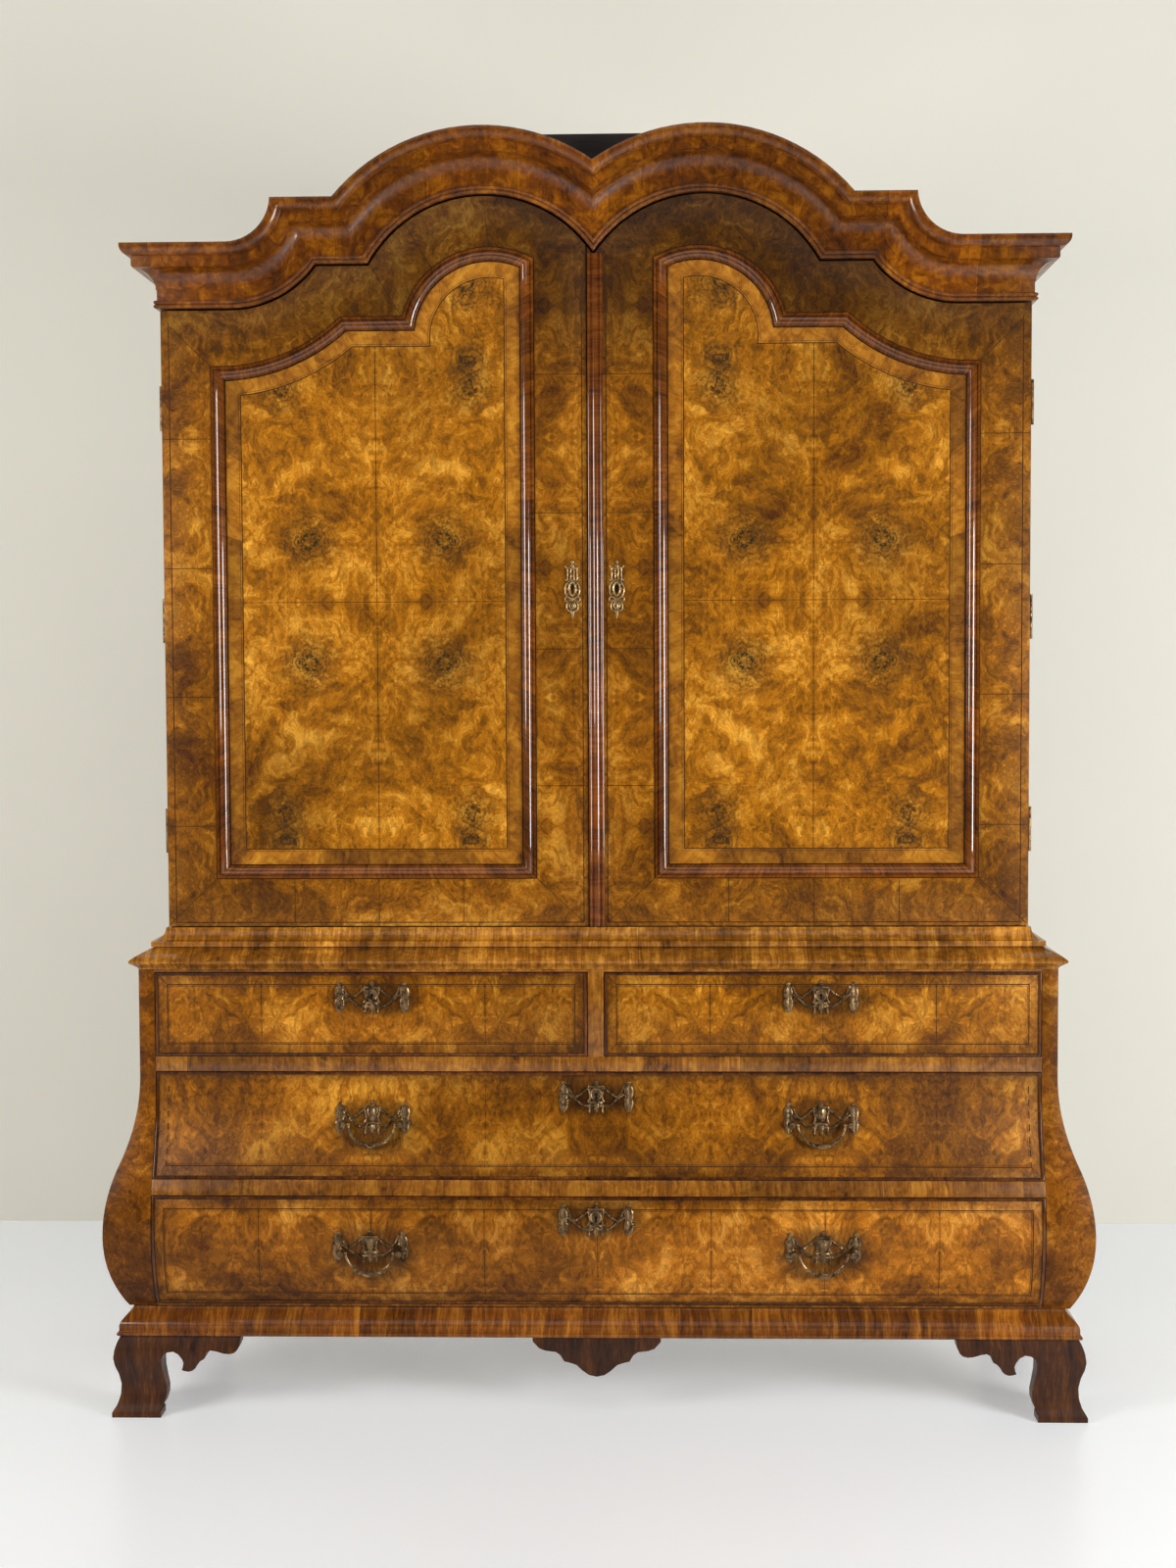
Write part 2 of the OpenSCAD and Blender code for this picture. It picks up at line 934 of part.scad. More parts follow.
module panel_area(inset = 0) {
    x0 = inner_stile_w + inset;
    z0 = panel_bottom_z + inset;
    span(x0, z0, panel_outer_x - inset, panel_side_z - inset);
    difference() {
        span(x0, z0, min(panel_cove_x, panel_outer_x - inset), panel_shoulder_z - inset);
        translate([panel_cove_x, panel_side_z + panel_cove_r])
            circle(r = panel_cove_r + inset + slip);
    }
    intersection() {
        translate([panel_arch_x, panel_arch_z])
            circle(r = panel_arch_r - inset);
        span(x0, z0, panel_outer_x - inset, apex_z);
    }
}

rebate = 8;
panel_t = 10;
panel_sink = 2;

module door_frame(inner_x) {
    along_y(door_y, frame_back_y)
        difference() {
            intersection() {
                domed_area(cornice_h + door_top_gap);
                span(inner_x, door_z + door_gap, upper_x - door_gap, apex_z);
            }
            panel_area(rebate);
        }
}

module door_panel() {
    along_y(door_y + panel_sink, door_y + panel_sink + panel_t)
        panel_area(rebate);
}

// Panel moulding: a thin outer fillet and a raised round inside it, in steps
mould_fillet_w = 6;
mould_fillet_out = 3;
mould_steps = 4;
mould_top_share = 0.96;
mould_out = 9;

module panel_moulding() {
    along_y(door_y - mould_fillet_out, door_y)
        difference() {
            panel_area();
            panel_area(rebate);
        }
    for (i = [0 : mould_steps - 1]) {
        share = (i + 1) / mould_steps;
        round_r = (panel_mould_w - mould_fillet_w) / 2;
        inset = round_r * (1 - sqrt(1 - pow(share * mould_top_share, 2)));
        along_y(door_y - mould_fillet_out - (mould_out - mould_fillet_out) * share,
                door_y - (i == 0 ? 0 : mould_fillet_out))
            difference() {
                panel_area(mould_fillet_w + inset);
                panel_area(panel_mould_w - inset);
            }
    }
}

module left_door_frame() {
    color(burr)
        to_side(-1)
            door_frame(left_inner_x);
}

module left_door_panel() {
    color(burr)
        to_side(-1)
            door_panel();
}

module left_door_moulding() {
    color(dark_walnut)
        to_side(-1)
            panel_moulding();
}

module right_door_frame() {
    color(burr)
        door_frame(right_inner_x);
}

module right_door_panel() {
    color(burr)
        door_panel();
}

module right_door_moulding() {
    color(dark_walnut)
        panel_moulding();
}

// Strip over the meeting edges: two beads beside a broad round
strip_bead_r = 3;
strip_round_r = 7;
strip_h = arch_z + sqrt(pow(arch_r - cornice_h, 2) - pow(arch_x, 2)) - door_top_gap
          - door_z - door_gap;

module centre_strip() {
    color(dark_walnut)
        translate([right_inner_x + strip_w / 2, door_y, door_z + door_gap])
            linear_extrude(strip_h)
                intersection() {
                    union() {
                        span(-strip_w / 2, -strip_out / 2, strip_w / 2, 0);
                        for (side = [-1, 1])
                            translate([side * (strip_w / 2 - strip_bead_r), -strip_out / 2])
                                circle(r = strip_bead_r);
                        translate([0, strip_round_r - strip_out])
                            circle(r = strip_round_r);
                    }
                    span(-strip_w, -strip_w, strip_w, 0);
                }
}

// Door escutcheons: a tall pierced plate with a keyhole
escutcheon_up = 635;
escutcheon_h = 111;
escutcheon_w = 30;
keyhole_r = 4;
lobe_share = 0.24;
tip_share = 0.42;
pierced_share = 0.27;
slot_share = 0.125;
escutcheon_z = door_z + escutcheon_up;

module escutcheon_area() {
    lobe_r = escutcheon_w / 2;
    difference() {
        union() {
            for (share = [-lobe_share, lobe_share])
                translate([0, share * escutcheon_h])
                    circle(r = lobe_r);
            for (share = [-tip_share, tip_share])
                translate([0, share * escutcheon_h])
                    circle(r = lobe_r / 2);
            span(-lobe_r / 2, -escutcheon_h / 2, lobe_r / 2, escutcheon_h / 2);
            circle(r = lobe_r / 2 + over);
        }
        circle(r = keyhole_r);
        span(-keyhole_r / 2, -escutcheon_h * slot_share, keyhole_r / 2, 0);
        for (share = [-pierced_share, pierced_share])
            translate([0, share * escutcheon_h])
                circle(r = lobe_r / 3);
    }
}

module escutcheon(x) {
    along_y(door_y - plate_t, door_y)
        translate([x, escutcheon_z])
            escutcheon_area();
}

module left_door_escutcheon() {
    color(light_brass)
        escutcheon(-inner_stile_w / 2 + strip_w / 2);
}

module right_door_escutcheon() {
    color(light_brass)
        escutcheon(inner_stile_w / 2 - strip_w / 2);
}

lock_w = 70;
lock_h = 110;
lock_t = 16;

module door_lock() {
    color(brass)
        along_y(frame_back_y, frame_back_y + lock_t)
            span(right_inner_x + door_gap, escutcheon_z - lock_h / 2,
                 right_inner_x + door_gap + lock_w, escutcheon_z + lock_h / 2);
}

// Drawers

bead_out = 2;
bead_deep = 3;
front_back_y = lower_face_y + front_t;
drawer_end_gap = 20;
box_back_y = back_y - back_t - drawer_end_gap;
bottom_t = 9;
side_drop = 12;

// Drawer front between two x and two z, rebated for its bead
module drawer_front(x0, z0, x1, z1) {
    intersection() {
        swell_front(-bead_deep);
        along_y(lower_face_y - swell - over, front_back_y)
            span(x0 + drawer_gap, z0 + drawer_gap, x1 - drawer_gap, z1 - drawer_gap);
    }
    intersection() {
        swell_front();
        along_y(lower_face_y - swell - over, front_back_y)
            span(x0 + drawer_gap + bead_w, z0 + drawer_gap + bead_w,
                 x1 - drawer_gap - bead_w, z1 - drawer_gap - bead_w);
    }
}

module drawer_bead(x0, z0, x1, z1) {
    intersection() {
        difference() {
            swell_front(bead_out);
            swell_front(-bead_deep);
        }
        along_y(lower_face_y - swell - bead_out - over, front_back_y)
            difference() {
                span(x0 + drawer_gap, z0 + drawer_gap, x1 - drawer_gap, z1 - drawer_gap);
                span(x0 + drawer_gap + bead_w, z0 + drawer_gap + bead_w,
                     x1 - drawer_gap - bead_w, z1 - drawer_gap - bead_w);
            }
    }
}

// Box of a drawer: two sides, a back and a bottom
module drawer_box(x0, z0, x1, z1) {
    clear = 2 * drawer_gap;
    for (x = [x0 + clear, x1 - clear - drawer_side_t])
        along_y(front_back_y, box_back_y)
            span(x, z0, x + drawer_side_t, z1 - side_drop);
    along_y(box_back_y - drawer_side_t, box_back_y)
        span(x0 + clear + drawer_side_t, z0, x1 - clear - drawer_side_t, z1 - side_drop);
    along_y(front_back_y, box_back_y - drawer_side_t)
        span(x0 + clear + drawer_side_t, z0, x1 - clear - drawer_side_t, z0 + bottom_t);
}

// Swagged plate: a vase in the middle, a tassel at each side and two strands between them
vase_h = 64;
vase_w = 30;
vase_r = 9;
tassel_h = 58;
tassel_r = 8;
strand_w = 3.6;
husk_share = 0.72;
drawer_key_share = 0.8;
upper_strand_shares = [[0.16, 0.27], [0.44, 0.05], [0.56, -0.01], [0.67, 0.09], [0.76, 0.3]];
lower_strand_shares = [[0.1, -0.24], [0.34, -0.23], [0.57, -0.06], [0.76, 0.08]];

// A stroke of even width through a list of points
module stroke(points, w) {
    for (i = [0 : len(points) - 2]) {
        step = points[i + 1] - points[i];
        translate(points[i])
            rotate(atan2(step[1], step[0]))
                translate([0, -w / 2])
                    square([norm(step), w]);
        translate(points[i])
            circle(r = husk_share * w);
    }
}

// Rounds as shares: x and z of the centre, radius against that of the vase or tassel
vase_round_shares = [[0, 0.06, 1], [0, 0.42, 0.5], [0, -0.34, 0.5], [0.4, -0.3, 0.33], [-0.4, -0.3, 0.33]];
tassel_round_shares = [[0, 0.14, 1], [0, -0.12, 0.8], [0, -0.4, 0.45], [0, 0.42, 0.45]];
// Bars as shares: from one corner to the other
vase_bar_shares = [[-0.5, 0.25, 0.5, 0.31], [-0.4, -0.2, 0.4, -0.12], [0.31, -0.28, 0.43, 0.28],
                   [-0.43, -0.28, -0.31, 0.28]];
stem_share = 0.4;

module rounds(shares, w, h, r) {
    for (p = shares)
        translate([p[0] * w, p[1] * h])
            circle(r = p[2] * r);
    span(-strand_w / 2, -stem_share * h, strand_w / 2, stem_share * h);
}

module vase_area() {
    rounds(vase_round_shares, vase_w, vase_h, vase_r);
    for (b = vase_bar_shares)
        span(b[0] * vase_w, b[1] * vase_h, b[2] * vase_w, b[3] * vase_h);
}

module plate_area() {
    vase_area();
    for (side = [0, 1])
        mirror([side, 0]) {
            translate([plate_x - tassel_r - over, 0])
                rounds(tassel_round_shares, tassel_r, tassel_h, tassel_r);
            stroke(upper_strand_shares * plate_x, strand_w);
            stroke(lower_strand_shares * plate_x, strand_w);
        }
}

// A plate bent to the swell of a drawer front
module plate(x, z, holed = true) {
    intersection() {
        difference() {
            swell_front(plate_t);
            swell_front(slip);
        }
        along_y(lower_face_y - swell - plate_t - over, lower_face_y)
            translate([x, z])
                difference() {
                    plate_area();
                    if (holed) {
                        translate([0, keyhole_r])
                            circle(r = drawer_key_share * keyhole_r);
                        span(-keyhole_r / 2, -2 * drawer_key_share * keyhole_r, keyhole_r / 2, keyhole_r);
                    }
                }
    }
}

// Reach of the swelling face at a height
function face_reach(z) =
    z >= flare_z ? 0
    : z >= belly_z + belly_r * tangent_sin ? flare_r - sqrt(pow(flare_r, 2) - pow(flare_z - z, 2))
    : z >= belly_z ? swell - belly_r + sqrt(pow(belly_r, 2) - pow(z - belly_z, 2))
    : swell - tuck_r + sqrt(pow(tuck_r, 2) - pow(belly_z - z, 2));
function face_y(z) = lower_face_y - face_reach(z);
// Lean of the face above the belly, which a hanging bail follows
function face_tilt(z) =
    z >= belly_z + belly_r * tangent_sin ? asin((flare_z - min(z, flare_z)) / flare_r)
    : asin(max(z - belly_z, 0) / belly_r);

post_r = 5;
bail_slip = 0.1;
bail_r = 3;
bail_shoulder = 1;

// Posts with a cross bore, one at each pivot of a bail
module posts(x, z) {
    pivot_y = face_y(z) - post_out + post_r;
    for (side = [-1, 1])
        difference() {
            translate([x + side * bail_x, face_y(z) + plate_t, z])
                rotate([90, 0, 0])
                    cylinder(h = post_out + plate_t, r = post_r);
            translate([x + side * bail_x, pivot_y, z])
                rotate([0, 90, 0])
                    cylinder(h = 4 * post_r, r = bail_pin_r + bail_slip, center = true);
            front_cut(z);
        }
}

// Everything behind the face, to seat a post on the swell
module front_cut(z) {
    intersection() {
        swell_front(slip);
        along_y(lower_face_y - swell - over, back_y)
            span(-lower_x, z - 4 * post_r, lower_x, z + 4 * post_r);
    }
}

// Drop handle: pins, an arc and a thickened middle
module bail(x, z) {
    pivot_y = face_y(z) - post_out + post_r;
    knob_r = bail_r + bail_shoulder / 2;
    end_x = bail_x - post_r - knob_r - bail_shoulder;
    arc_r = (end_x * end_x + bail_drop * bail_drop) / (2 * bail_drop);
    half_angle = asin(end_x / arc_r);
    translate([x, pivot_y, z])
        rotate([-face_tilt(z), 0, 0]) {
            for (side = [-1, 1]) {
                translate([side * end_x, 0, 0])
                    sphere(r = knob_r);
                translate([side * (end_x + bail_x + post_r) / 2, 0, 0])
                    rotate([0, 90, 0])
                        cylinder(h = bail_x + post_r - end_x, r = bail_pin_r, center = true);
            }
            translate([0, 0, arc_r - bail_drop])
                rotate([90, 0, 0])
                    rotate([0, 0, -90 - half_angle])
                        rotate_extrude(angle = 2 * half_angle)
                            translate([arc_r, 0])
                                circle(r = bail_r);
            translate([0, 0, -bail_drop])
                rotate([0, 90, 0])
                    rotate_extrude()
                        intersection() {
                            translate([-bail_drop / 2, 0])
                                circle(r = bail_drop / 2 + 2 * bail_r - bail_shoulder);
                            span(0, -bail_drop, bail_drop, bail_drop);
                        }
        }
}

module left_small_drawer_front() {
    color(burr)
        drawer_front(-drawer_x, small_row_z, -divider_w / 2, top_rail_z);
}

module left_small_drawer_box() {
    color(oak)
        drawer_box(-drawer_x, small_row_z, -divider_w / 2, top_rail_z);
}

module drawer_beads_small_left() {
    color(dark_walnut)
        drawer_bead(-drawer_x, small_row_z, -divider_w / 2, top_rail_z);
}

module left_small_drawer_plate() {
    color(brass)
        plate(-handle_x, small_plate_z);
}

module right_small_drawer_front() {
    color(burr)
        drawer_front(divider_w / 2, small_row_z, drawer_x, top_rail_z);
}

module right_small_drawer_box() {
    color(oak)
        drawer_box(divider_w / 2, small_row_z, drawer_x, top_rail_z);
}

module drawer_beads_small_right() {
    color(dark_walnut)
        drawer_bead(divider_w / 2, small_row_z, drawer_x, top_rail_z);
}

module right_small_drawer_plate() {
    color(brass)
        plate(handle_x, small_plate_z);
}

module middle_drawer_front() {
    color(burr)
        drawer_front(-drawer_x, middle_row_z, drawer_x, rail_2_z);
}

module middle_drawer_box() {
    color(oak)
        drawer_box(-drawer_x, middle_row_z, drawer_x, rail_2_z);
}

module drawer_bead_middle() {
    color(dark_walnut)
        drawer_bead(-drawer_x, middle_row_z, drawer_x, rail_2_z);
}

module middle_drawer_plates() {
    color(brass) {
        plate(0, middle_key_z);
        for (side = [-1, 1]) {
            plate(side * handle_x, middle_plate_z, false);
            posts(side * handle_x, middle_plate_z - pivot_drop);
        }
    }
}

module bottom_drawer_front() {
    color(burr)
        drawer_front(-drawer_x, bottom_row_z, drawer_x, rail_1_z);
}

module bottom_drawer_box() {
    color(oak)
        drawer_box(-drawer_x, bottom_row_z, drawer_x, rail_1_z);
}

module drawer_bead_bottom() {
    color(dark_walnut)
        drawer_bead(-drawer_x, bottom_row_z, drawer_x, rail_1_z);
}

module bottom_drawer_plates() {
    color(brass) {
        plate(0, bottom_key_z);
        for (side = [-1, 1]) {
            plate(side * handle_x, bottom_plate_z, false);
            posts(side * handle_x, bottom_plate_z - pivot_drop);
        }
    }
}

module middle_left_bail() {
    color(brass)
        bail(-handle_x, middle_plate_z - pivot_drop);
}

module middle_right_bail() {
    color(brass)
        bail(handle_x, middle_plate_z - pivot_drop);
}

module bottom_left_bail() {
    color(brass)
        bail(-handle_x, bottom_plate_z - pivot_drop);
}

module bottom_right_bail() {
    color(brass)
        bail(handle_x, bottom_plate_z - pivot_drop);
}

foot_front_left();
foot_front_right();
back_feet();
apron_pendant();
base_moulding();
lower_side_left();
lower_side_right();
lower_bottom();
lower_back();
lower_top();
drawer_rails();
drawer_divider();
drawer_runners();
waist_moulding();
cavetto_moulding();
upper_bottom_rail();
upper_side_left();
upper_side_right();
upper_bottom();
upper_back();
upper_roof();
cornice_board();
cornice_moulding();
cornice_astragal();
shelves();
shelf_battens();
case_hinge_leaves();
left_door_frame();
left_door_panel();
left_door_moulding();
left_door_escutcheon();
left_door_hinge_leaves();
right_door_frame();
right_door_panel();
right_door_moulding();
right_door_escutcheon();
right_door_hinge_leaves();
centre_strip();
door_lock();
left_small_drawer_front();
left_small_drawer_box();
left_small_drawer_plate();
right_small_drawer_front();
right_small_drawer_box();
right_small_drawer_plate();
middle_drawer_front();
middle_drawer_box();
middle_drawer_plates();
bottom_drawer_front();
bottom_drawer_box();
bottom_drawer_plates();
drawer_beads_small_left();
drawer_beads_small_right();
drawer_bead_middle();
drawer_bead_bottom();
middle_left_bail();
middle_right_bail();
bottom_left_bail();
bottom_right_bail();
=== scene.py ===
"""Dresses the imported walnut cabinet: veneers, inlay, mouldings, brass and the room it stands in."""

from __future__ import annotations

import json
import logging
import math
from dataclasses import dataclass
from enum import Enum
from typing import Callable, Iterable, Sequence, Union

import bmesh
import bpy
import numpy as np
from mathutils import Matrix, Vector
from mathutils.geometry import tessellate_polygon

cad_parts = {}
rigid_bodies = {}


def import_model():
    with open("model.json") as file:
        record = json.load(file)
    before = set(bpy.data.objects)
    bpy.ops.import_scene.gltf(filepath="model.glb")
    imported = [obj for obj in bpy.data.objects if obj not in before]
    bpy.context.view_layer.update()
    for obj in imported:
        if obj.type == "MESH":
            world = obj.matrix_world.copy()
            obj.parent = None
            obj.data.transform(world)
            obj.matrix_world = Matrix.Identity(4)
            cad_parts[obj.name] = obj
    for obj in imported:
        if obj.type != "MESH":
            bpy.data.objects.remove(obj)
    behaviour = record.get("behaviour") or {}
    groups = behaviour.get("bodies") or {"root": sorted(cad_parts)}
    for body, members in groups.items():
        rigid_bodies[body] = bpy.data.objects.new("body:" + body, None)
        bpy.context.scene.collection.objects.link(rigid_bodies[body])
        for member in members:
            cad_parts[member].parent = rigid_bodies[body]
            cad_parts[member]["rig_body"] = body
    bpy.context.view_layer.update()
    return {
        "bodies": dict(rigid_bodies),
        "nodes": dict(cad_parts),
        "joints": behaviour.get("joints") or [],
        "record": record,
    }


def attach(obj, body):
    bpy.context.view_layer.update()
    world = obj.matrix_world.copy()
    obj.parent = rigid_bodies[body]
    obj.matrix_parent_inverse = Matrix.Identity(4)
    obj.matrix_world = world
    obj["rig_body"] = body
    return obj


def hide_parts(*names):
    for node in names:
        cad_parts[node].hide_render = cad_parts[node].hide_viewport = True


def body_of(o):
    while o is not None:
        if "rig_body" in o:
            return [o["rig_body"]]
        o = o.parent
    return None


log = logging.getLogger("cabinet")
Colour = tuple[float, float, float]
Point = tuple[float, float]
Profile = tuple[Point, ...]
Line3 = Sequence[Sequence[float]]
Place = Callable[[float, float, float], Sequence[float]]
Socket = bpy.types.NodeSocket
Value = Union[Socket, float, Colour]

# How far inlay stands proud, in metres, and the angle from which an edge is sharp
PROUD = 0.0001
SHARP = math.radians(30)

# How much smaller the smallest of the repeated shapes is, as a share, and their random seed
SPREAD = 0.15
SEED = 3

# Sizes of the cabinet that the pieces below repeat from its source, in metres
DOOR_Y = -0.19610
DOOR_Z = 0.914
FACE_Y = -0.24110
ASTRAGAL_Z = 2.076
SEAM_X, SEAM_Z = 0.409, 1.5275
DRAWER_SEAM_X, DRAWER_SHEET = 0.003, 0.2105


class Side(Enum):
    """Which door or half of the cabinet a piece belongs to."""

    LEFT = -1
    RIGHT = 1

    @property
    def word(self) -> str:
        """The side's name as the CAD nodes write it."""
        return self.name.lower()


class Slot(Enum):
    """The record's material slots."""

    BURR = "burr_walnut"
    DARK = "dark_walnut"
    OAK = "oak"
    BRASS = "old_brass"
    LIGHT_BRASS = "rubbed_brass"


@dataclass(frozen=True)
class DrawerFace:
    """The face of one drawer.

    Attributes:
        name: the drawer's body.
        edges: x0, x1, z0 and z1 of its front, in metres.
        shade: multiplies the colour of its veneer; the right small drawer's and the bottom drawer's
            also paint light, as noted below.
        stains: x, z, half width and half height of the dirt round each of its brasses.
    """

    name: str
    edges: tuple[float, float, float, float]
    shade: Colour
    stains: tuple[tuple[float, float, float, float], ...]


DRAWER_FACES = (
    DrawerFace("left_small_drawer", (-0.83, -0.015, 0.675, 0.835), (0.9, 0.84, 0.72),
               ((-0.42, 0.785, 0.09, 0.036),)),
    # Lighter than its twin on the left: painted light, where more light falls on the right of the
    # chest.
    DrawerFace("right_small_drawer", (0.015, 0.83, 0.675, 0.835), (1.25, 1.2, 1.15),
               ((0.42, 0.785, 0.09, 0.036),)),
    DrawerFace("middle_drawer", (-0.83, 0.83, 0.451, 0.647), (0.9, 0.84, 0.72),
               ((0, 0.6, 0.085, 0.034), (-0.42, 0.545, 0.088, 0.05), (0.42, 0.545, 0.088, 0.05))),
    # Greyer and bluer than the other drawers: a painted reflection of the pale floor.
    DrawerFace("bottom_drawer", (-0.83, 0.83, 0.211, 0.423), (0.98, 0.9, 1.1),
               ((0, 0.38, 0.085, 0.034), (-0.42, 0.312, 0.09, 0.052), (0.42, 0.312, 0.09, 0.052))),
)


# ---------------------------------------------------------------- materials


class Tree:
    """Short calls that build a node tree."""

    def __init__(self, tree: bpy.types.NodeTree) -> None:
        """Takes the tree that the nodes go into."""
        self.tree = tree

    def node(self, kind: str, values: dict | None = None, **settings: object) -> bpy.types.Node:
        """Adds a node.

        Args:
            kind: its Blender type.
            values: numbers or sockets for its inputs, by name or index.
            settings: its properties.

        Returns:
            The new node.
        """
        made = self.tree.nodes.new(kind)
        for key, value in settings.items():
            setattr(made, key, value)
        for key, value in (values or {}).items():
            self.feed(made.inputs[key], value)
        return made

    def feed(self, socket: Socket, value: Value) -> None:
        """Links a socket to another, or sets its number.

        Args:
            socket: the input.
            value: the output or the number that it gets.
        """
        if isinstance(value, Socket):
            self.tree.links.new(value, socket)
        else:
            socket.default_value = value

    def math(self, operation: str, *values: Value) -> Socket:
        """A Math node's result."""
        return self.node("ShaderNodeMath", dict(enumerate(values)), operation=operation).outputs[0]


class Shader(Tree):
    """Builds one material's node tree."""

    def __init__(self, name: str) -> None:
        """Starts a Principled material.

        Args:
            name: the material's name.
        """
        self.material = bpy.data.materials.new(name)
        self.material.use_nodes = True
        super().__init__(self.material.node_tree)
        self.bsdf = self.tree.nodes["Principled BSDF"]

    def add(self, first: Value, second: Value) -> Socket:
        """The sum."""
        return self.math("ADD", first, second)

    def sub(self, first: Value, second: Value) -> Socket:
        """The difference."""
        return self.math("SUBTRACT", first, second)

    def mul(self, first: Value, second: Value) -> Socket:
        """The product."""
        return self.math("MULTIPLY", first, second)

    def least(self, first: Value, second: Value) -> Socket:
        """The smaller."""
        return self.math("MINIMUM", first, second)

    def apart(self, first: Value, second: Value) -> Socket:
        """How far apart two values are."""
        return self.math("ABSOLUTE", self.sub(first, second))

    def sway(self, share: Socket, reach: float) -> Socket:
        """A share from 0 to 1 turned into a shift to both sides."""
        return self.mul(self.sub(share, 0.5), reach)

    def blend(self, first: Value, second: Value, share: float = 0.5) -> Socket:
        """Two values mixed, with the second's share given."""
        return self.add(self.mul(first, 1 - share), self.mul(second, share))

    def vector(self, operation: str, *values: Value, output: str = "Vector") -> Socket:
        """A Vector Math node's vector, or its value."""
        return self.node("ShaderNodeVectorMath", dict(enumerate(values)),
                         operation=operation).outputs[output]

    def position(self) -> Socket:
        """Object coordinates in metres."""
        return self.node("ShaderNodeTexCoord").outputs["Object"]

    def split(self, vector: Socket) -> tuple[Socket, ...]:
        """The x, y and z of a vector."""
        return tuple(self.node("ShaderNodeSeparateXYZ", {0: vector}).outputs)

    def join(self, x: Value, y: Value, z: Value) -> Socket:
        """A vector from three values."""
        return self.node("ShaderNodeCombineXYZ", {0: x, 1: y, 2: z}).outputs[0]

    def scaled(self, vector: Socket, scale: Colour) -> Socket:
        """The vector times three numbers."""
        return self.node("ShaderNodeMapping", {"Vector": vector, "Scale": scale}).outputs[0]

    def noise(self, vector: Socket, scale: float, detail: float = 4, rough: float = 0.55,
              twist: float = 0, output: int = 0) -> Socket:
        """A noise texture.

        Args:
            vector: where it is read.
            scale: its scale.
            detail: its number of octaves.
            rough: how strong the small octaves are.
            twist: its distortion.
            output: 0 for a value from 0 to 1, 1 for three such values.

        Returns:
            The value or the three values.
        """
        values = {"Vector": vector, "Scale": scale, "Detail": detail, "Roughness": rough,
                  "Distortion": twist}
        return self.node("ShaderNodeTexNoise", values).outputs[output]

    def between(self, value: Socket, low: float, high: float, to_low: float = 0,
                to_high: float = 1) -> Socket:
        """Maps a value smoothly from one range to another.

        Args:
            value: the value.
            low: where the first range starts.
            high: where it ends.
            to_low: what the start becomes.
            to_high: what the end becomes.

        Returns:
            The mapped value, which stays in the second range.
        """
        return self.node("ShaderNodeMapRange", {"Value": value, "From Min": low, "From Max": high,
                                                "To Min": to_low, "To Max": to_high},
                         interpolation_type="SMOOTHSTEP").outputs[0]

    def cut(self, along: Value, width: float) -> tuple[Socket, Socket]:
        """Cuts a line into pieces of one width.

        Args:
            along: the place on the line.
            width: width of a piece.

        Returns:
            A random number for each piece, and how far a place is from its piece's middle, as a
            share of the width.
        """
        steps = self.math("DIVIDE", along, width)
        each = self.node("ShaderNodeTexWhiteNoise", {"W": self.math("FLOOR", steps)},
                         noise_dimensions="1D").outputs[0]
        return each, self.apart(self.math("FRACT", steps), 0.5)

    def ramp(self, value: Socket, *stops: tuple[float, Colour]) -> Socket:
        """A colour from a value.

        Args:
            value: the value.
            stops: places and their colours.

        Returns:
            The colour.
        """
        made = self.node("ShaderNodeValToRGB", {0: value})
        elements = made.color_ramp.elements
        while len(elements) < len(stops):
            elements.new(0.5)
        for element, (place, colour) in zip(elements, stops):
            element.position = place
            element.color = (*colour, 1)
        return made.outputs[0]

    def mix(self, share: Value, first: Value, second: Value, blend: str = "MIX") -> Socket:
        """Mixes two colours.

        Args:
            share: the second colour's share.
            first: a socket or a plain colour.
            second: the same.
            blend: how they are mixed.

        Returns:
            The mixed colour.
        """
        made = self.node("ShaderNodeMix", data_type="RGBA", blend_type=blend)
        for index, value in ((0, share), (6, first), (7, second)):
            self.feed(made.inputs[index], (*value, 1) if isinstance(value, tuple) else value)
        return made.outputs[2]

    def shaded(self, colour: Value, tone: Socket | Colour) -> Socket:
        """A colour times a value or times another colour.

        Args:
            colour: the colour.
            tone: a value's socket, or a plain colour.

        Returns:
            The product.
        """
        if isinstance(tone, Socket):
            tone = self.join(tone, tone, tone)
        return self.mix(1.0, colour, tone, "MULTIPLY")

    def dress(self, **inputs: Value) -> None:
        """Feeds the Principled shader's inputs, by name with underscores."""
        for key, value in inputs.items():
            self.feed(self.bsdf.inputs[key.replace("_", " ")], value)

    def bump(self, height: Socket, strength: float, distance: float) -> None:
        """Raises the surface by a height pattern."""
        self.dress(Normal=self.node("ShaderNodeBump", {"Height": height, "Strength": strength,
                                                       "Distance": distance}).outputs[0])


class Finish:
    """A finish that paints a material of its own name."""

    name: str

    def make(self) -> bpy.types.Material:
        """Builds the material."""
        s = Shader(self.name)
        self.paint(s)
        return s.material


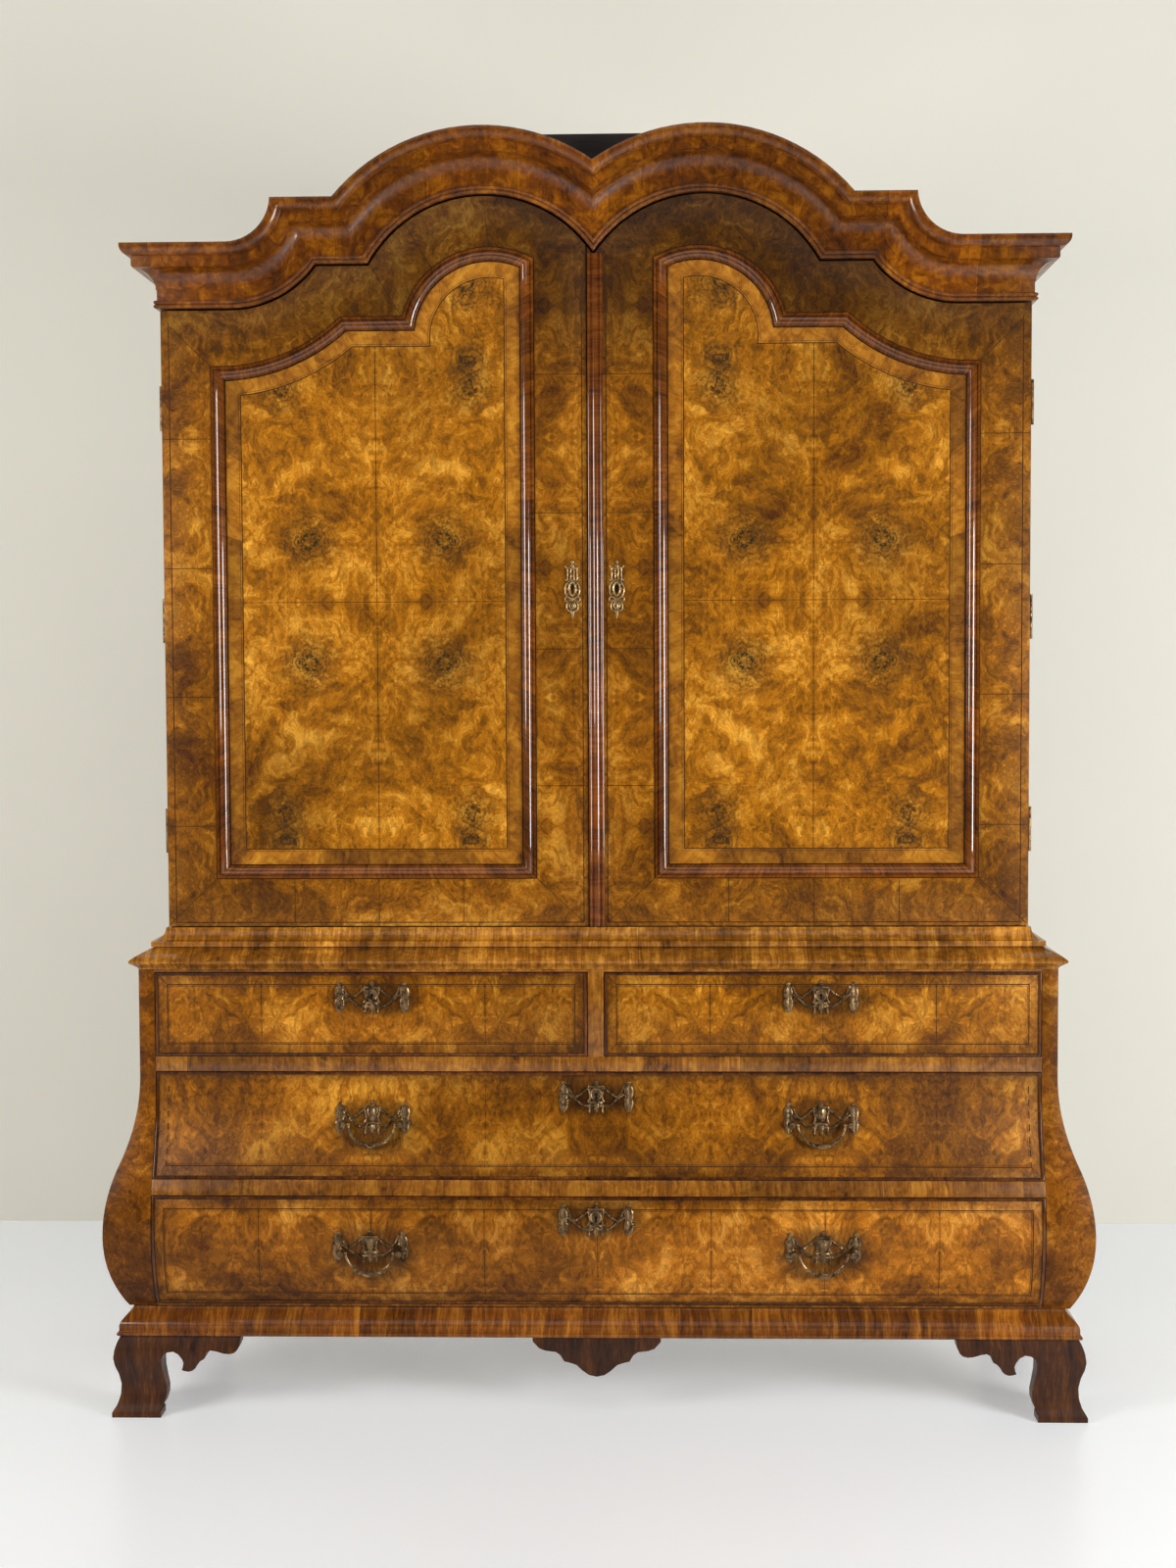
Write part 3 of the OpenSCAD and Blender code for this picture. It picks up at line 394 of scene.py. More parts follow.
@dataclass(frozen=True)
class Veneer(Finish):
    """Burr walnut veneer, laid in matched sheets.

    Attributes:
        seam: x and z of the seam where the sheets mirror each other, in metres.
        sheet: width and height of a sheet; the figure mirrors at each edge.
        knots: dark knots, as distance from the seam in x and z, and radius.
        stretch: how much the figure is drawn out along x, y and z.
        shade: multiplies the colour, for darker or redder sheets; on the sides, the right small
            drawer and the bottom drawer it also paints light and shade.
        halo: colour of the smoke round a knot.
        dusk: lower and upper height between which the face darkens upwards, painted shade under the
            cornice, and the share left.
        border: x0, x1, z0, z1 of a face that darkens towards its edges, painted shade by its
            mouldings.
        stains: x, z, half width and half height of dirt round the brasses.
    """

    name: str
    seam: Point = (0, 0)
    sheet: Point = (5, 5)
    knots: tuple[Colour, ...] = ()
    stretch: Colour = (1, 1, 1)
    shade: Colour = (1, 1, 1)
    dark: Colour = (0.085, 0.021, 0.001)
    mid: Colour = (0.37, 0.13, 0.004)
    light: Colour = (0.68, 0.32, 0.035)
    halo: Colour = (0.035, 0.02, 0.006)
    core: Colour = (0.02, 0.012, 0.004)
    roughness: float = 0.36
    dusk: Colour = (0, 0.001, 1)
    border: tuple[float, float, float, float] = (-9, 9, -9, 9)
    stains: tuple[tuple[float, float, float, float], ...] = ()

    def age(self, s: Shader, x: Socket, z: Socket) -> Socket:
        """Painted shade at the edges and high up, and dirt round the brasses.

        Args:
            s: the material under construction.
            x: place along the face.
            z: height.

        Returns:
            The share of light that is left.
        """
        # Darker within 34 mm of the face's edges: painted shade by the mouldings and cockbeads.
        x0, x1, z0, z1 = self.border
        edge = s.least(s.least(s.sub(x, x0), s.sub(x1, x)), s.least(s.sub(z, z0), s.sub(z1, z)))
        drift = s.noise(s.position(), 14, 3)
        edge = s.add(edge, s.sway(drift, 0.03))
        # Darker upwards between two heights: painted shade under the cornice.
        low, high, share = self.dusk
        left = s.mul(s.between(edge, 0, 0.034, 0.5, 1), s.between(z, low, high, 1, share))
        for cx, cz, width, height in self.stains:
            place = s.join(s.math("DIVIDE", s.sub(x, cx), width), 0,
                           s.math("DIVIDE", s.sub(z, cz), height))
            away = s.add(s.vector("LENGTH", place, output="Value"), s.sway(drift, 1.1))
            left = s.mul(left, s.between(away, 0.55, 1.35, 0.34, 1))
        return left

    def knotted(self, s: Shader, colour: Socket, x: Socket, z: Socket, flat: Socket) -> Socket:
        """Adds the knots to the figure.

        Args:
            s: the material under construction.
            colour: the figure's colour.
            x: distance from the seam along the sheet.
            z: distance from the seam up the sheet.
            flat: the mirrored place.

        Returns:
            The colour with its knots.
        """
        for dx, dz, radius in self.knots:
            wobble = s.sway(s.noise(flat, 34, 4, 0.6, 1), 0.045)
            away = s.vector("DISTANCE", s.join(x, 0, z), (dx, 0, dz), output="Value")
            away = s.add(away, wobble)
            halo = s.between(away, 0.8 * radius, 2.4 * radius, 0.85, 0)
            rings = s.between(s.math("SINE", s.mul(away, 620)), -0.7, 0.9, 0.4, 1)
            smoke = s.between(s.noise(flat, 85, 5, 0.7, 2), 0.4, 0.56, 0.4, 1)
            core = s.between(s.apart(away, 0.4 * radius), 0.0, 0.35 * radius, 0.9, 0)
            colour = s.mix(s.mul(halo, s.mul(rings, smoke)), colour, self.halo)
            colour = s.mix(s.mul(core, smoke), colour, self.core)
        return colour

    def paint(self, s: Shader) -> None:
        """Paints the finish.

        Args:
            s: the material under construction.
        """
        raw = s.position()
        x, y, z = s.split(raw)
        age = self.age(s, x, z)
        x = s.math("PINGPONG", s.sub(x, self.seam[0]), self.sheet[0])
        z = s.math("PINGPONG", s.sub(z, self.seam[1]), self.sheet[1])
        flat = s.join(x, y, z)
        place = s.scaled(flat, self.stretch)
        shift = s.node("ShaderNodeVectorMath", {0: s.noise(place, 6, 5, 0.6, output=1), 3: 0.16},
                       operation="SCALE").outputs[0]
        swirled = s.vector("ADD", place, shift)
        cloud = s.noise(raw, 4.2, 6, 0.62, 1.2)
        swirl = s.noise(swirled, 17, 9, 0.68, 1.6)
        grain = s.noise(s.scaled(swirled, (1, 1, 0.22)), 130, 4, 0.6)
        curl = s.noise(swirled, 58, 5, 0.7, 3)
        figure = s.add(s.add(s.mul(cloud, 0.4), s.mul(swirl, 0.4)), s.mul(curl, 0.2))
        colour = s.ramp(figure, (0.385, self.dark), (0.455, tuple(0.55 * v for v in self.mid)),
                        (0.515, self.mid), (0.6, self.light))
        colour = s.shaded(colour, s.mul(s.between(grain, 0.34, 0.62, 0.66, 1.12),
                                        s.between(s.noise(raw, 1.9, 2), 0.35, 0.62, 0.7, 1.12)))
        crowd = s.between(s.noise(swirled, 7, 3, 0.6), 0.52, 0.66)
        spots = s.node("ShaderNodeTexVoronoi", {"Vector": swirled, "Scale": 105}).outputs
        pips = s.between(spots["Distance"], 0.0, 0.34, 1, 0)
        colour = s.mix(s.mul(s.mul(pips, crowd), 0.75), colour, self.dark)
        veins = s.between(s.apart(s.noise(swirled, 9, 6, 0.6, 0.8), 0.5), 0.0, 0.012, 1, 0)
        streaks = s.mul(veins, s.between(cloud, 0.5, 0.36))
        colour = s.mix(s.mul(streaks, 0.5), colour, self.dark)
        colour = self.knotted(s, colour, x, z, flat)
        # Painted shade at the edges and high up, and dirt round the brasses, darken the colour.
        colour = s.shaded(s.shaded(colour, self.shade), age)
        s.dress(Base_Color=colour, Coat_Weight=0.07, Coat_Roughness=0.12, Specular_IOR_Level=0.14,
                Roughness=s.between(swirl, 0.3, 0.7, self.roughness + 0.08, self.roughness - 0.04))
        s.bump(grain, 0.12, 0.0004)


class Run(Enum):
    """How a cross-grained moulding's length is read."""

    ALONG_FACE = "x on the front, y on the sides"
    MAPPED = "the piece's own map"
    UPRIGHT = "z of the surface"


@dataclass(frozen=True)
class Moulding(Finish):
    """Polished walnut laid cross-grain in short lengths, as on mouldings and bandings.

    Attributes:
        run: how the length along the moulding is read.
        length: length of one piece of veneer, in metres.
        joints: how dark the joints between the pieces are.
        burr: share of burr figure in the straight grain.
    """

    name: str
    run: Run = Run.ALONG_FACE
    length: float = 0.105
    shade: Colour = (1, 1, 1)
    dark: Colour = (0.035, 0.009, 0.001)
    mid: Colour = (0.15, 0.043, 0.003)
    light: Colour = (0.34, 0.125, 0.012)
    roughness: float = 0.26
    joints: float = 0.7
    burr: float = 0.25
    coat: float = 0.4
    joint_w: float = 0.0008

    def axes(self, s: Shader, place: Socket) -> tuple[Socket, Socket]:
        """The place along the moulding and the place across it.

        Args:
            s: the material under construction.
            place: object coordinates.

        Returns:
            Both places, in metres.
        """
        x, y, z = s.split(place)
        if self.run is Run.MAPPED:
            return s.split(s.node("ShaderNodeUVMap", uv_map="along").outputs[0])[:2]
        if self.run is Run.UPRIGHT:
            return z, s.add(x, y)
        across, ahead, _ = s.split(s.node("ShaderNodeTexCoord").outputs["Normal"])
        on_side = s.math("GREATER_THAN", s.math("ABSOLUTE", across), s.math("ABSOLUTE", ahead))
        return s.add(x, s.mul(on_side, s.sub(y, x))), z

    def paint(self, s: Shader) -> None:
        """Paints the finish.

        Args:
            s: the material under construction.
        """
        place = s.position()
        u, v = self.axes(s, place)
        each, part = s.cut(s.add(u, 10), self.length)
        offset = s.mul(each, 7)
        bent = s.add(u, s.sway(s.noise(place, 9, 3), 0.02))
        grain_place = s.join(s.add(bent, offset), s.mul(v, 0.12), offset)
        grain = s.noise(grain_place, 210, 5, 0.62, 0.4)
        cloud = s.noise(place, 11, 5, 0.6, 1)
        straight = s.blend(grain, s.noise(grain_place, 32, 4, 0.6, 0.6))
        mottle = s.blend(cloud, s.noise(place, 34, 6, 0.66, 1.8))
        figure = s.blend(straight, mottle, self.burr)
        colour = s.ramp(figure, (0.39, self.dark), (0.5, self.mid), (0.61, self.light))
        colour = s.shaded(colour, s.between(each, 0, 1, 0.74, 1.2))
        joint = s.between(part, 0.5 - self.joint_w / self.length, 0.5, 0, self.joints)
        colour = s.shaded(s.mix(joint, colour, (0.012, 0.005, 0.002)), self.shade)
        s.dress(Base_Color=colour, Coat_Weight=self.coat, Coat_Roughness=0.05,
                Specular_IOR_Level=0.22,
                Roughness=s.between(cloud, 0.3, 0.7, self.roughness + 0.06, self.roughness - 0.04))
        s.bump(grain, 0.1, 0.0003)


@dataclass(frozen=True)
class Oak(Finish):
    """Plain straight-grained boards, at the back and inside the case.

    Attributes:
        dark: colour between the grain.
        light: colour of the grain.
        stretch: how much the grain is drawn out along x, y and z.
        boards: width of each board along x, in metres; 0 for one piece.
        gap: width of the gap between boards, in metres.
    """

    name: str
    dark: Colour = (0.2, 0.115, 0.05)
    light: Colour = (0.44, 0.29, 0.15)
    stretch: Colour = (0.06, 1, 1)
    roughness: float = 0.62
    boards: float = 0
    gap: float = 0.0016

    def paint(self, s: Shader) -> None:
        """Paints the finish.

        Args:
            s: the material under construction.
        """
        place = s.position()
        if self.boards:
            each, part = s.cut(s.split(place)[0], self.boards)
            place = s.vector("ADD", place, s.join(0, 0, s.mul(each, 9)))
        place = s.scaled(place, self.stretch)
        pores = s.noise(place, 260, 3, 0.6)
        tone = s.between(pores, 0.35, 0.6, 0.7, 1.08)
        if self.boards:
            share = self.gap / self.boards
            dark = s.between(part, 0.5 - share, 0.5 - share / 2, 1, 0.12)
            tone = s.mul(tone, s.mul(dark, s.between(each, 0, 1, 0.75, 1.2)))
        colour = s.ramp(s.noise(place, 24, 5, 0.6, 0.8), (0.35, self.dark), (0.62, self.light))
        s.dress(Base_Color=s.shaded(colour, tone), Roughness=self.roughness, Specular_IOR_Level=0.3)
        s.bump(pores, 0.2, 0.0005)


@dataclass(frozen=True)
class Brass(Finish):
    """Cast brass with dirt in the hollows.

    Attributes:
        bright: colour where it is rubbed.
        dull: colour of the dirt.
    """

    name: str
    bright: Colour = (0.27, 0.165, 0.075)
    dull: Colour = (0.035, 0.02, 0.01)
    roughness: float = 0.36

    def paint(self, s: Shader) -> None:
        """Paints the finish.

        Args:
            s: the material under construction.
        """
        place = s.position()
        patches = s.noise(place, 90, 5, 0.65, 0.5)
        s.dress(Base_Color=s.ramp(patches, (0.36, self.dull), (0.6, self.bright)), Metallic=0.92,
                Roughness=s.between(patches, 0.35, 0.65, self.roughness + 0.2,
                                    self.roughness - 0.06))
        s.bump(s.noise(place, 700, 3, 0.6), 0.25, 0.0004)


@dataclass(frozen=True)
class Line(Finish):
    """Thin inlay, a joint, or the near-black sheet that paints the shade in a keyhole."""

    name: str
    colour: Colour
    roughness: float = 0.35

    def paint(self, s: Shader) -> None:
        """Paints the finish.

        Args:
            s: the material under construction.
        """
        tone = s.between(s.noise(s.position(), 60, 3), 0.3, 0.7, 0.7, 1.3)
        s.dress(Base_Color=s.shaded(self.colour, tone), Roughness=self.roughness,
                Specular_IOR_Level=0.15)


class Workshop:
    """The finishes, each made once."""

    knots = ((0.128, 0.115, 0.032), (0.176, 0.395, 0.024), (0.178, 0.45, 0.021),
             (0.17, 0.588, 0.034))
    old_boards = ((0.09, 0.055, 0.03), (0.2, 0.13, 0.075))

    def __init__(self) -> None:
        """Builds every finish."""
        self.field = {side: self.door_field(side) for side in Side}
        # The frame darkens above 1.9 m: painted shade under the cornice.
        self.frame = Veneer("burr_frame", (0, 1.590), (5, 0.2427), shade=(0.74, 0.71, 0.64),
                            dusk=(1.9, 2.08, 0.42)).make()
        self.drawers = {
            # Each front darkens towards its edges, painted shade by the cockbeads, and round its
            # brasses with dirt.
            face.name: Veneer(f"burr_{face.name}", (DRAWER_SEAM_X, 0), (DRAWER_SHEET, 5),
                              stretch=(1, 1, 0.8), shade=face.shade, border=face.edges,
                              stains=face.stains).make()
            for face in DRAWER_FACES
        }
        # Darkened all over below the doors' burr: painted shade for the sides' swelling lower part.
        self.side = Veneer("burr_side", (0, 1.5), (5, 0.6), shade=(0.56, 0.48, 0.42)).make()
        self.moulding = Moulding("moulding_walnut", shade=(1.1, 1.05, 0.9)).make()
        # Lifted far above the other mouldings, greener and bluer most: painted sheen for the pale
        # highlights along the waist.
        self.waist = Moulding("waist_walnut", shade=(2.1, 2.6, 3.2), burr=0.5,
                              roughness=0.22).make()
        self.cornice = Moulding("cornice_walnut", length=0.17, burr=0.75,
                                shade=(0.92, 0.83, 0.37)).make()
        self.round = Moulding("panel_moulding_walnut", Run.MAPPED, 0.12, roughness=0.15,
                              shade=(0.95, 0.85, 0.75), coat=1.0,
                              dark=(0.05, 0.014, 0.002), light=(0.26, 0.09, 0.01)).make()
        self.band = Moulding("crossband_walnut", Run.MAPPED, 0.16, burr=0.7, joints=0.4,
                             dark=(0.09, 0.027, 0.002), mid=(0.28, 0.1, 0.006),
                             light=(0.5, 0.22, 0.02), roughness=0.32).make()
        self.rail = Moulding("rail_walnut", length=0.13, burr=0.5, mid=(0.2, 0.068, 0.006),
                             light=(0.4, 0.17, 0.02)).make()
        self.upright = Moulding("upright_walnut", Run.UPRIGHT, 0.3, shade=(1.1, 0.9, 0.8),
                                joints=0.3, roughness=0.15, coat=1.0, dark=(0.06, 0.018, 0.003),
                                light=(0.22, 0.08, 0.01)).make()
        # Darkened far below the other mouldings: painted shade low down by the floor.
        self.foot = Moulding("foot_walnut", length=0.3, shade=(0.34, 0.31, 0.34), joints=0.2,
                             roughness=0.45, coat=0.15).make()
        self.bead = Moulding("bead_walnut", length=0.5, shade=(0.5, 0.42, 0.42), joints=0.1).make()
        self.oak = Oak("oak_boards").make()
        self.box = Oak("drawer_boards", stretch=(0.08, 0.25, 1)).make()
        self.roof = Oak("roof_boards", *self.old_boards, (1, 0.06, 1), boards=0.13).make()
        self.back = Oak("back_boards", *self.old_boards, (1, 1, 0.06), boards=0.19).make()
        self.board = Oak("valley_board", (0.012, 0.008, 0.006), (0.04, 0.025, 0.018)).make()
        self.brass = Brass("old_brass").make()
        self.light_brass = Brass("rubbed_brass", (0.46, 0.31, 0.14), (0.13, 0.075, 0.03),
                                 0.3).make()
        self.line = Line("dark_line", (0.045, 0.016, 0.004)).make()
        # Near-black lines that paint the shade along the panel mouldings.
        self.dirt = Line("dark_edge", (0.012, 0.005, 0.002)).make()
        self.joint = Line("veneer_joint", (0.03, 0.012, 0.003)).make()
        # Near-black sheets in the keyholes paint the shade inside them.
        self.hole = Line("keyhole_dark", (0.004, 0.003, 0.002), 0.7).make()

    def door_field(self, side: Side) -> bpy.types.Material:
        """The quarter-matched veneer of one door's panel."""
        edges = sorted((side.value * 0.137, side.value * 0.692))
        # The field darkens towards its edges: painted shade by the panel moulding.
        return Veneer(f"burr_field_{side.word}", (side.value * SEAM_X, SEAM_Z), knots=self.knots,
                      border=(*edges, 1.032, 2.16)).make()


# ---------------------------------------------------------------- mesh helpers


def finished(bm: bmesh.types.BMesh, name: str) -> bpy.types.Mesh:
    """Turns a mesh under construction into a plain one.

    Args:
        bm: the mesh under construction, which is freed.
        name: the new mesh's name.

    Returns:
        The plain mesh.
    """
    mesh = bpy.data.meshes.new(name)
    bm.to_mesh(mesh)
    bm.free()
    return mesh


def linked(name: str, data: bpy.types.ID) -> bpy.types.Object:
    """Puts a new object in the scene.

    Args:
        name: its name.
        data: its mesh, lamp or camera.

    Returns:
        The object.
    """
    made = bpy.data.objects.new(name, data)
    bpy.context.scene.collection.objects.link(made)
    return made


def piece(name: str, mesh: bpy.types.Mesh, body: str, slot: Slot,
          material: bpy.types.Material) -> bpy.types.Object:
    """Puts a finished mesh on its body.

    Args:
        name: the piece's name.
        mesh: its mesh, in the shared frame.
        body: the CAD body that it moves with.
        slot: the record's slot for its finish; not used.
        material: its finish.

    Returns:
        The new object.
    """
    made = linked(name, mesh)
    mesh.materials.clear()
    mesh.materials.append(material)
    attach(made, body)
    log.info("%s: %d faces", name, len(mesh.polygons))
    return made


def smooth(mesh: bpy.types.Mesh) -> None:
    """Shades a mesh smooth but for its sharper edges.

    Args:
        mesh: the mesh.
    """
    mesh.shade_smooth()
    bm = bmesh.new()
    bm.from_mesh(mesh)
    for edge in bm.edges:
        edge.smooth = len(edge.link_faces) == 2 and edge.calc_face_angle(0) < SHARP
    bm.to_mesh(mesh)
    bm.free()


def refined(node: bpy.types.Object, material: bpy.types.Material, slot: Slot,
            bevel: float) -> None:
    """Copies a CAD node, merges it, softens its edges and shows it in the node's stead.

    Args:
        node: the CAD node's object.
        material: the finish of the copy.
        slot: the record's slot.
        bevel: width of the softened edges in metres, 0 for none.
    """
    mesh = node.data.copy()
    bm = bmesh.new()
    bm.from_mesh(mesh)
    bmesh.ops.remove_doubles(bm, verts=bm.verts, dist=1e-6)
    bmesh.ops.dissolve_limit(bm, angle_limit=math.radians(0.5), verts=bm.verts, edges=bm.edges)
    bmesh.ops.triangulate(bm, faces=[f for f in bm.faces if len(f.verts) > 4])
    if bevel:
        edges = [e for e in bm.edges if len(e.link_faces) == 2 and
                 e.calc_face_angle(0) > math.radians(35) and e.calc_length() > 4 * bevel]
        bmesh.ops.bevel(bm, geom=edges, offset=bevel, segments=2, affect="EDGES",
                        clamp_overlap=True, profile=0.6)
    bm.to_mesh(mesh)
    bm.free()
    smooth(mesh)
    made = piece(f"{node.name}_finished", mesh, body_of(node)[0], slot, material)
    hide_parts(node.name)


def strip_mesh(rings: np.ndarray | list, closed: bool = False) -> bpy.types.Mesh:
    """Joins a row of rings of points into a skin with a map along it.

    Args:
        rings: n stations along the run, each of m points round the profile.
        closed: whether the run joins up with its start.

    Returns:
        A closed mesh: the profile is closed, and open runs get end caps.
    """
    rings = np.array(rings)
    n, m, _ = rings.shape
    along = np.concatenate([[0], np.cumsum(np.linalg.norm(np.diff(rings[:, 0], axis=0), axis=1))])
    last = along[-1] + np.linalg.norm(rings[0, 0] - rings[-1, 0])
    across = np.concatenate([[0], np.cumsum(np.linalg.norm(np.diff(rings[0], axis=0), axis=1))])
    rim = across[-1] + np.linalg.norm(rings[0, 0] - rings[0, -1])
    bm = bmesh.new()
    uv = bm.loops.layers.uv.new("along")
    verts = [[bm.verts.new(p) for p in ring] for ring in rings]
    for i in range(n if closed else n - 1):
        for j in range(m):
            i2, j2 = (i + 1) % n, (j + 1) % m
            face = bm.faces.new((verts[i][j], verts[i][j2], verts[i2][j2], verts[i2][j]))
            u0, u1 = along[i], along[i + 1] if i + 1 < n else last
            v0, v1 = across[j], across[j + 1] if j + 1 < m else rim
            for loop, place in zip(face.loops, ((u0, v0), (u0, v1), (u1, v1), (u1, v0))):
                loop[uv].uv = place
    if not closed:
        bm.faces.new(reversed(verts[0]))
        bm.faces.new(verts[-1])
    bmesh.ops.recalc_face_normals(bm, faces=bm.faces)
    mesh = finished(bm, "run")
    smooth(mesh)
    return mesh


def swept(rings: Iterable[Sequence[Sequence[float]]]) -> bpy.types.Mesh:
    """Sweeps a profile round a closed run.

    Args:
        rings: for each point of the profile, its points round the run.

    Returns:
        A closed mesh.
    """
    return strip_mesh(np.swapaxes(np.array(list(rings)), 0, 1), True)


def fill(bm: bmesh.types.BMesh, verts: Sequence[bmesh.types.BMVert],
         outline: Sequence[Point]) -> None:
    """Fills an outline with triangles, also where it is hollow.

    Args:
        bm: the mesh under construction.
        verts: its vertices round the outline.
        outline: the same points, flat.
    """
    for triangle in tessellate_polygon([[Vector((*point, 0)) for point in outline]]):
        bm.faces.new([verts[i] for i in triangle])


def merged(meshes: Iterable[bpy.types.Mesh]) -> bpy.types.Mesh:
    """Makes one mesh of several, keeping their maps.

    Args:
        meshes: the meshes, which are removed.

    Returns:
        The one mesh.
    """
    bm = bmesh.new()
    for mesh in meshes:
        bm.from_mesh(mesh)
        bpy.data.meshes.remove(mesh)
    return finished(bm, "merged")


def ribbon(points: Line3, outward: Line3, width: float, proud: float,
           closed: bool = False) -> bpy.types.Mesh:
    """A thin strip of inlay that lies on a surface.

    Args:
        points: points on the surface along the strip.
        outward: the surface's outward direction at each point.
        width: width of the strip.
        proud: how far it stands proud; it is let in by twice as much.
        closed: whether it joins up with its start.

    Returns:
        The strip's mesh.
    """
    p, out = np.array(points, float), np.array(outward, float)
    if closed:
        ahead, behind = np.roll(p, -1, 0) - p, p - np.roll(p, 1, 0)
    else:
        ahead = np.vstack([p[1:] - p[:-1], p[-1:] - p[-2:-1]])
        behind = np.vstack([p[1:2] - p[:1], p[1:] - p[:-1]])
    ahead /= np.linalg.norm(ahead, axis=1)[:, None]
    behind /= np.linalg.norm(behind, axis=1)[:, None]
    across = np.cross(ahead, out) + np.cross(behind, out)
    across /= np.linalg.norm(across, axis=1)[:, None]
    turn = np.clip(np.einsum("ij,ij->i", across, np.cross(ahead, out)), 0.3, 1)
    half = across * (width / 2 / turn)[:, None]
    rings = np.stack([p - half - 2 * proud * out, p - half + proud * out,
                      p + half + proud * out, p + half - 2 * proud * out], axis=1)
    return strip_mesh(rings, closed)


def flat_ribbon(points: Sequence[Point], y: float, width: float,
                closed: bool = False) -> bpy.types.Mesh:
    """A ribbon on an upright face.

    Args:
        points: its x and z.
        y: where the face stands.
        width: width of the ribbon.
        closed: whether it joins up with its start.

    Returns:
        The ribbon's mesh.
    """
    return ribbon([(x, y, z) for x, z in points], [(0, -1, 0)] * len(points), width, PROUD, closed)


# ---------------------------------------------------------------- doors


@dataclass
class PanelOutline:
    """The shaped outline of a door panel, drawn on the right door, in metres.

    Attributes:
        side_z: top of its outer edge.
        cove: x, z and radius of the hollow over the outer edge.
        shoulder_z: height of the step between hollow and arch.
        arch: x, z and radius of the arch.
    """

    inner_x: float = 0.112
    outer_x: float = 0.717
    bottom_z: float = 1.007
    side_z: float = 1.968
    cove: Colour = (0.700, 2.299, 0.3313)
    shoulder_z: float = 2.058
    arch: Colour = (0.194, 2.017, 0.167)
    run_steps: int = 24
    cove_steps: int = 24
    arch_steps: int = 44

    def ring(self, inset: float, side: Side) -> list[Point]:
        """The outline moved inwards, always with the same number of points.

        Args:
            inset: how far inside the opening's edge.
            side: which door.

        Returns:
            Points (x, z), from the inner bottom corner round by the outer side.
        """
        steps = self.run_steps
        x0, x1, z0 = self.inner_x + inset, self.outer_x - inset, self.bottom_z + inset
        cx, cz, r = self.cove[0], self.cove[1], self.cove[2] + inset
        shoulder, flat = self.shoulder_z - inset, self.side_z - inset
        start = math.asin(min(1, math.sqrt(max(0, r * r - (cz - flat) ** 2)) / r))
        start = max(start, math.asin((cx - min(cx, x1)) / r))
        end = math.acos((cz - shoulder) / r)
        points = [(x0 + (x1 - x0) * i / steps, z0) for i in range(steps)]
        points += [(x1, z0 + (flat - z0) * i / steps) for i in range(steps)]
        points.append((x1, flat))
        for i in range(self.cove_steps + 1):
            angle = start + (end - start) * i / self.cove_steps
            points.append((cx - r * math.sin(angle), cz - r * math.cos(angle)))
        ax, az, ar = self.arch[0], self.arch[1], self.arch[2] - inset
        first = math.asin((shoulder - az) / ar)
        last = math.pi - math.acos(max(-1, min(1, (ax - x0) / ar)))
        for i in range(self.arch_steps + 1):
            angle = first + (last - first) * i / self.arch_steps
            points.append((ax + ar * math.cos(angle), az + ar * math.sin(angle)))
        top = points[-1][1]
        points += [(x0, top + (z0 - top) * i / steps) for i in range(1, steps)]
        return [(side.value * x, z) for x, z in points]


